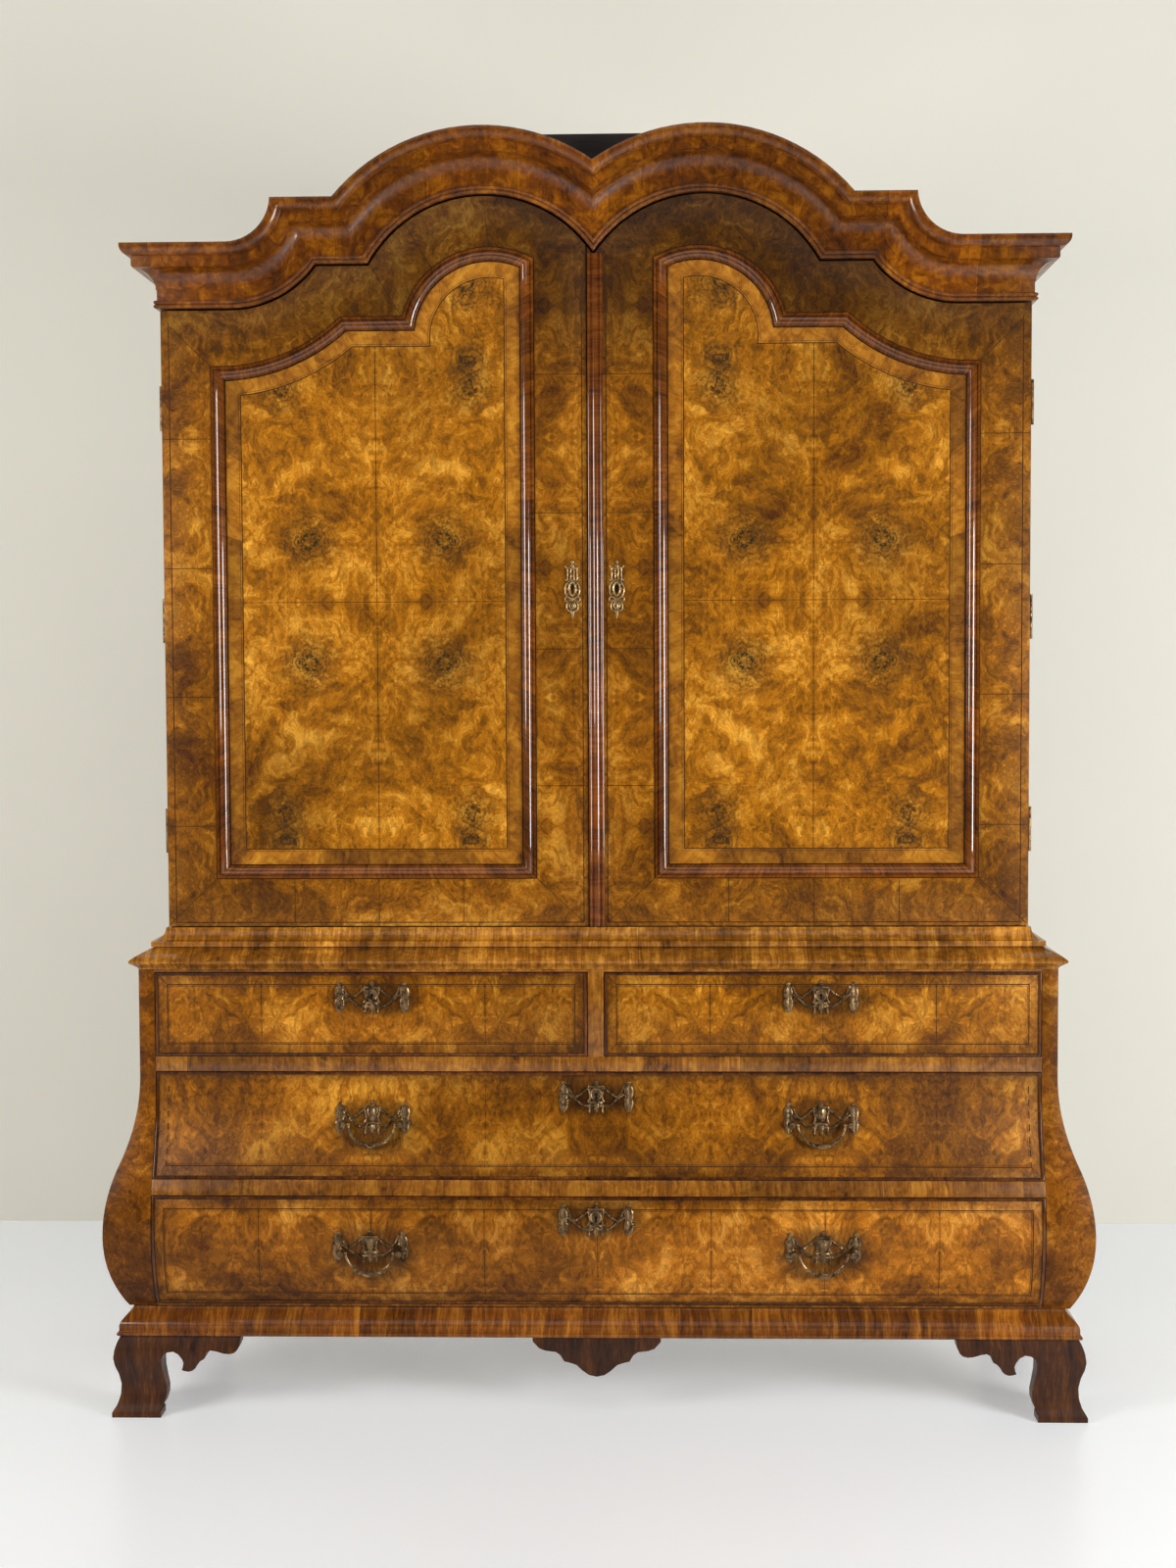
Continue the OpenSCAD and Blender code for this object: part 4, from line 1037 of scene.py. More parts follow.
@dataclass
class Door:
    """One door: panel moulding, field with its band, inlay and veneer joints.

    Attributes:
        field_inset: width of moulding and band round the field.
        band_inset: outer edge of the band, under the moulding.
        veneer: thickness of the field on it.
        let_in: how deep the field and the band reach into the panel.
        dirt: insets of the dark lines of painted shade along the moulding, outside and inside.
        edge_x: x of the stringing at the door's inner and outer edge.
        edge_top: z where the inner stringing ends.
        profile: the moulding, as distance in from the opening's edge and how far it stands out.
        stile_joints: ends and heights of the joints in the outer and the inner stile.
        mitres: ends of the slanting joints, as x and z.
        rail_joints: x of the joints in the bottom rail.
        seam_ends: x of the ends of the field's level seam.
    """

    side: Side
    shop: Workshop
    outline: PanelOutline
    field_inset: float = 0.055
    band_inset: float = 0.018
    panel_face: float = DOOR_Y + 0.002
    veneer: float = 0.0006
    let_in: float = 0.0002
    line_w: float = 0.0018
    thin_w: float = 0.0007
    thin_gap: float = 0.004
    joint_w: float = 0.0012
    fine_joint_w: float = 0.0011
    dirt: Point = (-0.0007, 0.0257)
    edge_x: Point = (0.0225, 0.796)
    edge_top: float = 2.145
    profile: Profile = (
        (0.0, 0.0), (0.0, 0.0026), (0.0006, 0.0032), (0.0048, 0.0032), (0.0056, 0.0026),
        (0.0058, 0.0012), (0.0066, 0.0038), (0.0085, 0.0066), (0.0112, 0.0084), (0.0145, 0.009),
        (0.0178, 0.0084), (0.0205, 0.0066), (0.0226, 0.0036), (0.0238, 0.001), (0.0245, 0.0016),
        (0.025, 0.001), (0.025, -0.002))
    stile_joints: tuple[tuple[Point, tuple[float, ...]], ...] = (
        ((0.808, 0.717), (1.834, 1.592, 1.350, 1.106)),
        ((0.017, 0.112), (1.949, 1.692, 1.438, 1.181)))
    mitres: tuple[tuple[Point, Point], ...] = (
        ((0.808, 0.920), (0.717, 1.007)), ((0.0225, 0.923), (0.112, 1.007)),
        ((0.796, 2.045), (0.717, 1.968)), ((0.36, 2.06), (0.42, 2.16)),
        ((0.30, 2.145), (0.355, 2.235)), ((0.194, 2.184), (0.205, 2.278)))
    rail_joints: Colour = (0.25, 0.41, 0.57)
    seam_ends: Point = (0.168, 0.661)

    def __post_init__(self) -> None:
        """Names the door's body and works out where the veneer's face is."""
        self.body = f"{self.side.word}_door"
        self.front = self.panel_face - self.veneer
        self.back = self.panel_face + self.let_in

    def moulding(self) -> None:
        """Sweeps the panel moulding round the opening with true mitres."""
        mesh = swept([(x, DOOR_Y - out, z) for x, z in self.outline.ring(inset, self.side)]
                     for inset, out in self.profile)
        made = piece(f"{self.body}_panel_moulding", mesh, self.body, Slot.DARK, self.shop.round)
        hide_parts(f"{self.body}_moulding")

    def field(self) -> None:
        """Lays the quarter-matched field and the cross-grained band round it."""
        inner = self.outline.ring(self.field_inset, self.side)
        bm = bmesh.new()
        rims = [[bm.verts.new((x, y, z)) for x, z in inner] for y in (self.front, self.back)]
        for rim in rims:
            fill(bm, rim, inner)
        for i in range(len(inner)):
            j = (i + 1) % len(inner)
            bm.faces.new((rims[0][i], rims[1][i], rims[1][j], rims[0][j]))
        bmesh.ops.recalc_face_normals(bm, faces=bm.faces)
        piece(f"{self.body}_field", finished(bm, "field"), self.body, Slot.BURR,
              self.shop.field[self.side])
        section = ((self.band_inset, self.back), (self.band_inset, self.front),
                   (self.field_inset, self.front), (self.field_inset, self.back))
        band = swept([(x, y, z) for x, z in self.outline.ring(inset, self.side)]
                     for inset, y in section)
        piece(f"{self.body}_crossband", band, self.body, Slot.BURR, self.shop.band)

    def straight(self, points: Iterable[Point], width: float,
                 y: float = DOOR_Y) -> bpy.types.Mesh:
        """A line of inlay between points drawn on the right door.

        Args:
            points: its x and z.
            width: its width.
            y: the face that it lies on.

        Returns:
            Its mesh, on this door.
        """
        return flat_ribbon([(self.side.value * x, z) for x, z in points], y, width)

    def inlay(self) -> None:
        """Lays the dark lines of painted shade along the moulding, and the stringing."""
        rounds = [self.outline.ring(inset, self.side)
                  for inset in (*self.dirt, self.field_inset, self.field_inset - self.thin_gap)]
        # Two dark ribbons, outside and inside the moulding, paint its shade on the frame and the
        # field.
        dirt = [flat_ribbon(rounds[0], DOOR_Y, self.line_w, True),
                flat_ribbon(rounds[1], self.front, self.line_w, True)]
        piece(f"{self.body}_dark_edges", merged(dirt), self.body, Slot.DARK, self.shop.dirt)
        low, high = DOOR_Z + 0.009, ASTRAGAL_Z - 0.026
        x_in, x_out = self.edge_x
        lines = [flat_ribbon(rounds[2], self.front, self.line_w, True),
                 flat_ribbon(rounds[3], self.front, self.thin_w, True),
                 self.straight(((x_out, high), (x_out, low), (x_in, low), (x_in, self.edge_top)),
                               self.line_w)]
        piece(f"{self.body}_stringing", merged(lines), self.body, Slot.DARK, self.shop.line)

    def joints(self) -> None:
        """Lays the joints of the veneer."""
        joints = [self.straight([(x, z) for x in ends], self.joint_w)
                  for ends, heights in self.stile_joints for z in heights]
        joints += [self.straight(ends, self.joint_w) for ends in self.mitres]
        bottom, fine = self.outline.bottom_z, self.fine_joint_w
        joints += [self.straight(((x, DOOR_Z + 0.009), (x, bottom)), fine)
                   for x in self.rail_joints]
        upright = ((SEAM_X, bottom + self.field_inset),
                   (SEAM_X, self.outline.shoulder_z - self.field_inset))
        joints.append(self.straight(upright, fine, self.front))
        joints.append(self.straight([(x, SEAM_Z) for x in self.seam_ends], fine, self.front))
        piece(f"{self.body}_joints", merged(joints), self.body, Slot.DARK, self.shop.joint)

    def build(self) -> None:
        """Makes the door's pieces."""
        self.moulding()
        self.field()
        self.inlay()
        self.joints()


# ---------------------------------------------------------------- chest


@dataclass
class Swell:
    """The chest's swelling face, as reach in front of its straight top.

    Attributes:
        top_z: where the swell begins.
        belly_z: where it reaches farthest.
        reach: how far.
        nudge: half the height over which the slope is read.
    """

    top_z: float = 0.640
    belly_z: float = 0.345
    reach: float = 0.061
    belly_r: float = 0.330
    tuck_r: float = 0.265
    nudge: float = 0.0005

    def __post_init__(self) -> None:
        """Works out the hollow's radius and the height where hollow and belly meet."""
        rise = self.top_z - self.belly_z
        total = (rise * rise / self.reach + self.reach) / 2
        self.flare_r = total - self.belly_r
        self.join_z = self.belly_z + self.belly_r * (rise / total)

    def at(self, z: float) -> float:
        """Reach at a height.

        Args:
            z: the height.

        Returns:
            The reach.
        """
        if z >= self.top_z:
            return 0.0
        if z >= self.join_z:
            return self.flare_r - math.sqrt(self.flare_r**2 - (self.top_z - z) ** 2)
        if z >= self.belly_z:
            return self.reach - self.belly_r + math.sqrt(self.belly_r**2 - (z - self.belly_z) ** 2)
        return self.reach - self.tuck_r + math.sqrt(self.tuck_r**2 - (self.belly_z - z) ** 2)

    def outward(self, z: float) -> Vector:
        """The face's outward direction at a height."""
        slope = (self.at(z + self.nudge) - self.at(z - self.nudge)) / (2 * self.nudge)
        return Vector((0, -1, -slope)).normalized()

    def point(self, x: float, z: float, out: float = 0) -> Vector:
        """A point on the front face, or a distance out from it."""
        return Vector((x, FACE_Y - self.at(z), z)) + float(out) * self.outward(z)


@dataclass
class Drawer:
    """Inlay and joints of one drawer front.

    Attributes:
        rim: how far in the mitres of the border end.
        step: longest piece of a line that follows the swell.
    """

    face: DrawerFace
    swell: Swell
    shop: Workshop
    inset: float = 0.024
    gap: float = 0.003
    rim: float = 0.008
    step: float = 0.008
    line_w: float = 0.002
    thin_w: float = 0.0008
    joint_w: float = 0.0011

    def strip(self, points: Sequence[Point], width: float,
              closed: bool = False) -> bpy.types.Mesh:
        """A ribbon on the drawer's face.

        Args:
            points: its corners, as x and z.
            width: its width.
            closed: whether the last corner is the first again.

        Returns:
            Its mesh, with points close enough to follow the swell.
        """
        line: list[Point] = []
        for (xa, za), (xb, zb) in zip(points, points[1:]):
            count = max(1, math.ceil(abs(zb - za) / self.step))
            line += [(xa + (xb - xa) * i / count, za + (zb - za) * i / count)
                     for i in range(count)]
        if not closed:
            line.append(points[-1])
        return ribbon([self.swell.point(x, z) for x, z in line],
                      [self.swell.outward(z) for _, z in line], width, PROUD, closed)

    def frame(self, x0: float, x1: float, z0: float, z1: float, width: float) -> bpy.types.Mesh:
        """A ribbon round a rectangle."""
        return self.strip([(x0, z0), (x1, z0), (x1, z1), (x0, z1), (x0, z0)], width, True)

    def build(self) -> None:
        """Makes the stringing and the veneer joints."""
        name, (left, right, low, high) = self.face.name, self.face.edges
        inset, gap, rim = self.inset, self.gap, self.rim
        x0, x1, z0, z1 = left + inset, right - inset, low + inset, high - inset
        lines = [self.frame(x0, x1, z0, z1, self.line_w),
                 self.frame(x0 + gap, x1 - gap, z0 + gap, z1 - gap, self.thin_w)]
        piece(f"{name}_stringing", merged(lines), name, Slot.DARK, self.shop.line)
        seams = [DRAWER_SEAM_X + k * DRAWER_SHEET for k in range(-4, 5)]
        joints = [self.strip([(x, z0), (x, z1)], self.joint_w)
                  for x in seams if x0 + 0.01 < x < x1 - 0.01]
        joints += [self.strip([(x, z), (x_out, z_out)], self.thin_w)
                   for x, x_out in ((x0, left + rim), (x1, right - rim))
                   for z, z_out in ((z0, low + rim), (z1, high - rim))]
        piece(f"{name}_joints", merged(joints), name, Slot.DARK, self.shop.joint)


@dataclass
class BracketFoot:
    """A front foot: two shaped brackets that meet at the corner, with an ogee face.

    Attributes:
        outer: x and y of the foot's outermost corner, in metres.
        depth: thickness of a bracket at its widest, in millimetres.
        lap: how far the brackets run into each other, in millimetres.
        ogee: height, and how far the face lies in from its outermost line, in millimetres.
        inner: distance in and height of a bracket's lower edge, in millimetres.
    """

    side: Side
    shop: Workshop
    outer: Point = (0.911, -0.2921)
    depth: float = 44
    lap: float = 1
    top: float = 152
    levels: int = 38
    ogee: Profile = (
        (0, 0.3), (5, 0), (11, 0.2), (12.6, 2.6), (14.4, 3.2), (23, 9), (40, 14.2), (60, 15.4),
        (80, 11.6), (97, 5.6), (112, 3), (128, 5.2), (141, 9.5), (152, 15))
    inner: Profile = (
        (92, 0), (92, 11.5), (89.5, 13), (90, 15), (96, 23), (101, 38), (101.5, 52), (98, 70),
        (94.5, 90), (94, 108), (97, 117), (105, 123), (116, 124.5), (126, 119.5), (133, 111),
        (135.5, 103), (133.5, 94), (131, 88.5), (137, 86), (144, 85), (151, 87), (157, 92),
        (162, 101), (168, 107.5), (175, 111.5), (177.5, 117), (178.5, 123), (187, 127),
        (197, 125.5), (211, 121.5), (222, 120.5), (231, 122.5), (237, 128), (241, 138),
        (242.5, 152))

    def inset(self, z: float) -> float:
        """How far the face lies in at a height."""
        return float(np.interp(z, *zip(*self.ogee)))

    def bracket(self, start: float | None, place: Place) -> bpy.types.Mesh:
        """One bracket, cut into level bands so that its face follows the ogee.

        Args:
            start: where its outer edge stands, or None to follow the ogee.
            place: turns (distance in, depth, height) in millimetres into a point in metres.

        Returns:
            A closed mesh.
        """
        heights = np.linspace(0, self.top, self.levels)
        outline = [(self.inset(z) if start is None else start, z) for z in heights[::-1]]
        outline += self.inner
        bm = bmesh.new()
        fill(bm, [bm.verts.new((s, 0, z)) for s, z in outline], outline)
        for z in heights[1:-1]:
            bmesh.ops.bisect_plane(bm, geom=bm.verts[:] + bm.edges[:] + bm.faces[:], dist=1e-4,
                                   plane_co=(0, 0, z), plane_no=(0, 0, 1))
        made = bmesh.ops.extrude_face_region(bm, geom=bm.faces[:])
        back = {v for v in made["geom"] if isinstance(v, bmesh.types.BMVert)}
        for vert in bm.verts:
            s, _, z = vert.co
            vert.co = place(s, self.depth if vert in back else self.inset(z), z)
        bmesh.ops.recalc_face_normals(bm, faces=bm.faces)
        if bm.calc_volume(signed=True) < 0:
            bmesh.ops.reverse_faces(bm, faces=bm.faces)
        return finished(bm, "bracket")

    def build(self) -> None:
        """Makes the foot in place of the CAD one."""
        sign, (x, y) = self.side.value, self.outer
        front = self.bracket(
            None, lambda s, d, z: (sign * (x - s / 1000), y + d / 1000, z / 1000))
        flank = self.bracket(
            self.depth - self.lap, lambda s, d, z: (sign * (x - d / 1000), y + s / 1000, z / 1000))
        mesh = merged([front, flank])
        smooth(mesh)
        made = piece(f"{self.side.word}_bracket_foot", mesh, "case", Slot.DARK, self.shop.foot)
        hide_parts(f"foot_front_{self.side.word}")


# ---------------------------------------------------------------- hardware


def smoothed(points: Line3, steps: int = 5) -> np.ndarray:
    """A Catmull-Rom curve through control points.

    Args:
        points: control points of any number of values.
        steps: points from one to the next.

    Returns:
        The curve's points.
    """
    p = np.array(points, float)
    p = np.vstack([2 * p[0] - p[1], p, 2 * p[-1] - p[-2]])
    out = []
    for a, b, c, d in zip(p, p[1:], p[2:], p[3:]):
        for t in np.linspace(0, 1, steps, endpoint=False):
            out.append(0.5 * (2 * b + (c - a) * t + (2 * a - 5 * b + 4 * c - d) * t**2 +
                              (3 * b - a - 3 * c + d) * t**3))
    return np.vstack([out, p[-2]])


@dataclass
class Casting:
    """Cast shapes drawn in millimetres as right, up and out, and set on a surface.

    Attributes:
        place: turns (right, up, out) in metres into a point of the shared frame.
    """

    place: Place

    def __post_init__(self) -> None:
        """Starts with no shapes."""
        self.meshes: list[bpy.types.Mesh] = []

    def skin(self, rings: np.ndarray | list, closed: bool = False) -> None:
        """Sets a row of rings on the surface."""
        placed = [[self.place(*(p * 0.001)) for p in ring] for ring in rings]
        self.meshes.append(strip_mesh(placed, closed))

    def rod(self, points: Line3, flat: float = 0.8, mirror: bool = True, closed: bool = False,
            sides: int = 8) -> None:
        """A bar through (right, up, out, radius) points.

        Args:
            points: the control points.
            flat: its depth as a share of its width.
            mirror: whether it is repeated on the left.
            closed: whether it joins up with its start.
            sides: corners of its section.
        """
        line = smoothed(points)
        if closed:
            line = line[:-1]
        turn = np.linspace(0, math.tau, sides, endpoint=False)
        for sign in ((1, -1) if mirror else (1,)):
            path = line[:, :3] * (sign, 1, 1)
            ahead = np.gradient(path, axis=0)
            if closed:
                ahead = np.roll(path, -1, 0) - np.roll(path, 1, 0)
            side = np.cross(ahead, (0, 0, 1))
            side /= np.linalg.norm(side, axis=1)[:, None]
            ring = (np.cos(turn)[None, :, None] * side[:, None] +
                    flat * np.sin(turn)[None, :, None] * np.array((0, 0, 1)))
            self.skin(path[:, None] + line[:, 3][:, None, None] * ring, closed)

    def hoop(self, middle: Point, radii: Point, out: float, bar: float, flat: float,
             stations: int, sides: int = 8, from_top: bool = False) -> None:
        """A bar bent into a ring.

        Args:
            middle: its place, right and up.
            radii: half its width and half its height.
            out: how far its bar stands off the surface.
            bar: radius of the bar.
            flat: the bar's depth as a share of its width.
            stations: control points round the ring.
            sides: corners of the bar's section.
            from_top: whether it starts at its top instead of its right.
        """
        ring = []
        for angle in np.linspace(0, math.tau, stations):
            across, up = math.cos(angle), math.sin(angle)
            if from_top:
                across, up = up, across
            ring.append((middle[0] + radii[0] * across, middle[1] + radii[1] * up, out, bar))
        self.rod(ring, flat, False, True, sides)

    def turned(self, x: float, profile: Profile, depth: float = 0.6, folds: int = 0,
               fold: float = 0, out: float = 1.0) -> None:
        """An upright turned body.

        Args:
            x: place of its axis.
            profile: heights and radii.
            depth: its depth as a share of its width.
            folds: number of flutes round it.
            fold: depth of the flutes as a share of the radius.
            out: how far its axis stands off the surface.
        """
        turn = np.linspace(0, math.tau, max(16, 4 * folds), endpoint=False)
        wave = 1 + fold * np.cos(folds * turn)
        self.skin([[np.array((x + r * w * math.cos(a), z, out + depth * r * w * math.sin(a)))
                    for a, w in zip(turn, wave)] for z, r in smoothed(profile, 4)])

    def finish(self, name: str, body: str, slot: Slot,
               material: bpy.types.Material) -> bpy.types.Object:
        """Makes one piece of every shape."""
        return piece(name, merged(self.meshes), body, slot, material)


@dataclass
class Repeats:
    """Geometry Nodes that set one small shape again and again along lines.

    Attributes:
        unit: the repeated shape; its own z runs along the line.
        along: whether the lines are filled at a spacing, or only their corners are used.
    """

    unit: bpy.types.Object
    along: bool = True
    inputs: tuple[tuple[str, str], ...] = (
        ("Unit", "Object"), ("Spacing", "Float"), ("Size", "Vector"), ("Spread", "Float"),
        ("Seed", "Int"), ("Outward", "Vector"), ("Finish", "Material"))

    def tree(self) -> bpy.types.NodeTree:
        """Builds the node tree with its named inputs.

        Returns:
            The tree, which ends in realized instances with their finish.
        """
        made = bpy.data.node_groups.new("repeats", "GeometryNodeTree")
        for name, kind in (("Lines", "Geometry"), *self.inputs):
            made.interface.new_socket(name, in_out="INPUT", socket_type=f"NodeSocket{kind}")
        made.interface.new_socket("Shapes", in_out="OUTPUT", socket_type="NodeSocketGeometry")
        t = Tree(made)
        given = t.node("NodeGroupInput").outputs
        points, ahead, seed = given["Lines"], given["Outward"], given["Seed"]
        if self.along:
            curve = t.node("GeometryNodeMeshToCurve", {"Mesh": points}).outputs[0]
            points = t.node("GeometryNodeResampleCurve",
                            {"Curve": curve, "Length": given["Spacing"]}, mode="LENGTH").outputs[0]
            ahead = t.node("GeometryNodeInputTangent").outputs[0]
        turn = t.node("FunctionNodeAlignRotationToVector", {"Vector": ahead}, axis="Z").outputs[0]
        spin = t.node("FunctionNodeRandomValue", {2: 0, 3: math.tau, "Seed": seed},
                      data_type="FLOAT").outputs[1]
        about = t.node("ShaderNodeCombineXYZ", {"Z": spin}).outputs[0]
        turned = t.node("FunctionNodeRotateRotation", {0: turn, 1: about},
                        rotation_space="LOCAL").outputs[0]
        least = t.math("SUBTRACT", 1, given["Spread"])
        share = t.node("FunctionNodeRandomValue", {2: least, 3: 1, "Seed": seed},
                       data_type="FLOAT").outputs[1]
        size = t.node("ShaderNodeVectorMath", {0: given["Size"], 3: share},
                      operation="SCALE").outputs[0]
        shape = t.node("GeometryNodeObjectInfo", {"Object": given["Unit"]}).outputs["Geometry"]
        placed = t.node("GeometryNodeInstanceOnPoints",
                        {"Points": points, "Instance": shape, "Rotation": turned,
                         "Scale": size}).outputs[0]
        real = t.node("GeometryNodeRealizeInstances", {"Geometry": placed}).outputs[0]
        dressed = t.node("GeometryNodeSetMaterial",
                         {"Geometry": real, "Material": given["Finish"]}).outputs[0]
        t.node("NodeGroupOutput", {0: dressed})
        return made

    def mesh(self, lines: Sequence[Line3], size: Colour, material: bpy.types.Material,
             spacing: float = 0.004, outward: Colour = (0, -1, 0)) -> bpy.types.Mesh:
        """Sets the shapes along lines and returns them as one plain mesh.

        Args:
            lines: point lists in the shared frame.
            size: the unit's scale along its own x, y and z.
            material: its finish.
            spacing: distance between neighbours along a line.
            outward: where the unit's z points when only corners are used.

        Returns:
            The plain mesh.
        """
        start = bpy.data.meshes.new("lines")
        points = [tuple(p) for line in lines for p in line]
        edges, first = [], 0
        for line in lines:
            edges += [(first + i, first + i + 1) for i in range(len(line) - 1)]
            first += len(line)
        start.from_pydata(points, edges if self.along else [], [])
        holder = linked("lines", start)
        modifier = holder.modifiers.new("repeats", "NODES")
        modifier.node_group = self.tree()
        values = {"Unit": self.unit, "Spacing": spacing, "Size": size, "Spread": SPREAD,
                  "Seed": SEED, "Outward": outward, "Finish": material}
        for item in modifier.node_group.interface.items_tree:
            if item.in_out == "INPUT" and item.name in values:
                modifier[item.identifier] = values[item.name]
        bpy.context.view_layer.update()
        graph = bpy.context.evaluated_depsgraph_get()
        out = bpy.data.meshes.new_from_object(holder.evaluated_get(graph))
        bpy.data.objects.remove(holder)
        return out


def bud() -> bpy.types.Object:
    """A small turned bud, one unit across its radius, with every other corner drawn in.

    Returns:
        Its object, to repeat.
    """
    profile, sides, fold = ((-0.5, 0.15), (-0.2, 0.8), (0.1, 1.0), (0.42, 0.35)), 8, 0.22
    turn = np.linspace(0, math.tau, sides, endpoint=False)
    return linked("bud", strip_mesh([
        [(r * (1 - fold * (i % 2)) * math.cos(a), r * (1 - fold * (i % 2)) * math.sin(a), z)
         for i, a in enumerate(turn)] for z, r in profile]))


def slotted_screw() -> bpy.types.Object:
    """A screw head one unit across its radius, with a straight slot cut from side to side.

    Returns:
        Its object, to repeat.
    """
    half, deep, foot, sides = 0.13, 0.55, -0.4, 9
    profile = ((1, foot), (1, 0.55), (0.86, 0.86), (0.6, 1.0))
    start = math.asin(half)
    turn = np.linspace(start, math.pi - start, sides)
    bm = bmesh.new()
    for sign in (1, -1):
        rims = [[bm.verts.new((r * math.cos(a), sign * max(r * math.sin(a), half), z))
                 for a in turn] for r, z in profile]
        for low, high in zip(rims, rims[1:]):
            for i in range(sides - 1):
                bm.faces.new((low[i], low[i + 1], high[i + 1], high[i]))
            bm.faces.new((low[-1], low[0], high[0], high[-1]))
        bm.faces.new(rims[0])
        bm.faces.new(rims[-1])
    box = [bm.verts.new((x * 0.97, y * half, z)) for z in (foot, 1 - deep)
           for x, y in ((-1, -1), (1, -1), (1, 1), (-1, 1))]
    for face in ((0, 1, 2, 3), (4, 5, 6, 7), (0, 1, 5, 4), (1, 2, 6, 5), (2, 3, 7, 6),
                 (3, 0, 4, 7)):
        bm.faces.new([box[i] for i in face])
    bmesh.ops.recalc_face_normals(bm, faces=bm.faces)
    return linked("screw", finished(bm, "screw"))


@dataclass
class SwagPlate:
    """A vase between two tassels, hung with swags of husks, on a drawer front.

    Attributes:
        x: its middle, in metres.
        z: its height on the drawer, in metres.
        holed: whether the vase has a keyhole.
        posts: whether it carries the posts of a bail.
        post_x: place of the posts, in millimetres as all that follows.
        pivot_drop: how far they lie under the plate's middle.
        finial: the knob on the lid, as heights and radii.
        base: the collar under it.
        stem: the drop under the collar.
        ear: the vase's handle, as (right, up, out, radius).
        scroll: the scroll beside the drop, in the same way.
        swags: the upper and the lower swag, as right and up.
    """

    x: float
    z: float
    swell: Swell
    holed: bool = False
    posts: bool = True
    post_x: float = 54
    pivot_drop: float = 10
    tassel_x: float = 61
    finial: Profile = ((22, 3.6), (24.5, 4.4), (26.5, 1.6), (28.5, 2.9), (30.5, 2.3), (32, 0.5))
    lid: Profile = ((17.4, 9), (18.2, 15.2), (20, 15.8), (21.2, 14.2), (22.4, 5))
    vase: Profile = ((17, 9.6), (12, 10.2), (6, 9.4), (0, 6.4), (-4, 3.6), (-6, 3))
    base: Profile = ((-5.5, 3), (-7.5, 8.5), (-9.5, 11.6), (-12, 12), (-13.4, 7))
    stem: Profile = ((-12.5, 4), (-18, 4.6), (-24, 3.2), (-29, 2.2), (-32, 0.4))
    tassel: Profile = (
        (29, 0.8), (27, 3.4), (24.5, 3.6), (22.5, 2.2), (18, 6.2), (11, 8), (4, 7.7), (-2, 6),
        (-6, 7.6), (-12, 8.2), (-19, 6.6), (-25, 4.6), (-29, 0.8))
    ear: Line3 = ((14.6, 18.5, 2.4, 1.6), (14, 12, 3, 1.4), (11.6, 2, 3, 1.5),
                  (12, -4, 2.6, 1.7), (15, -10, 2, 2))
    scroll: Line3 = ((8, -12, 2, 2.2), (12.4, -17, 2.2, 2.2), (12, -24, 2, 1.5),
                     (12.6, -28, 2, 2.4), (12.6, -31, 2, 0.6))
    swags: tuple[Profile, Profile] = (
        ((11, 19), (31, 3.5), (39, -0.7), (47, 6.3), (53, 20)),
        ((8, -17), (24, -16), (40, -4), (53, 5.6)))

    def point(self, u: float, v: float, w: float) -> Vector:
        """A place right of, above and out from the plate's middle."""
        return self.swell.point(self.x + u, self.z + v, w)

    def cast(self, casting: Casting) -> None:
        """Adds the plate's shapes to a casting.

        Args:
            casting: the casting.
        """
        casting.place = self.point
        casting.turned(0, self.finial, 0.7, out=1.5)
        casting.turned(0, self.lid, 0.24, out=1.5)
        if self.holed:
            casting.hoop((0, 4.4), (9.6, 10.4), 2, 1.9, 0.9, 13, from_top=True)
        else:
            casting.turned(0, self.vase, 0.55, 9, 0.07)
        casting.turned(0, self.base, 0.3, 6, 0.05, out=1.5)
        casting.rod(self.ear)
        casting.turned(0, self.stem, 0.6, 5, 0.16)
        casting.rod(self.scroll)
        for side in (-1, 1):
            casting.turned(side * self.tassel_x, self.tassel, 0.5, 7, 0.13)
            casting.hoop((side * self.tassel_x + 8.4, -7), (2.6, 2.6), 1.8, 1.1, 0.8, 9, 6)
        for line in self.swags:
            casting.rod([(u, v, 2, 1.7) for u, v in line], 0.7)
        if self.posts:
            for side in (-1, 1):
                for out in (2.4, 15.6):
                    casting.hoop((side * self.post_x, -self.pivot_drop), (5.1, 5.1), out, 0.7,
                                 1, 17, 6)

    def strands(self) -> list[list[Vector]]:
        """The lines that the husks follow, from the tassels towards the vase."""
        return [[self.point(side * u / 1000, v / 1000, 0.0028)
                 for u, v in smoothed(line, 6)[::-1]] for side in (-1, 1) for line in self.swags]

    def dark(self) -> bpy.types.Mesh:
        """A dark sheet behind the plate's opening, painting the shade in the keyhole.

        Returns:
            Its mesh.
        """
        outline = [(3.6 * math.cos(a), 4 + 3.6 * math.sin(a))
                   for a in np.linspace(-0.9, math.pi + 0.9, 15)]
        outline += [(-2.3, -6.6), (2.3, -6.6)]
        return strip_mesh([[self.point(u / 1000, v / 1000, w / 1000) for u, v in outline]
                           for w in (0.1, 0.9)])


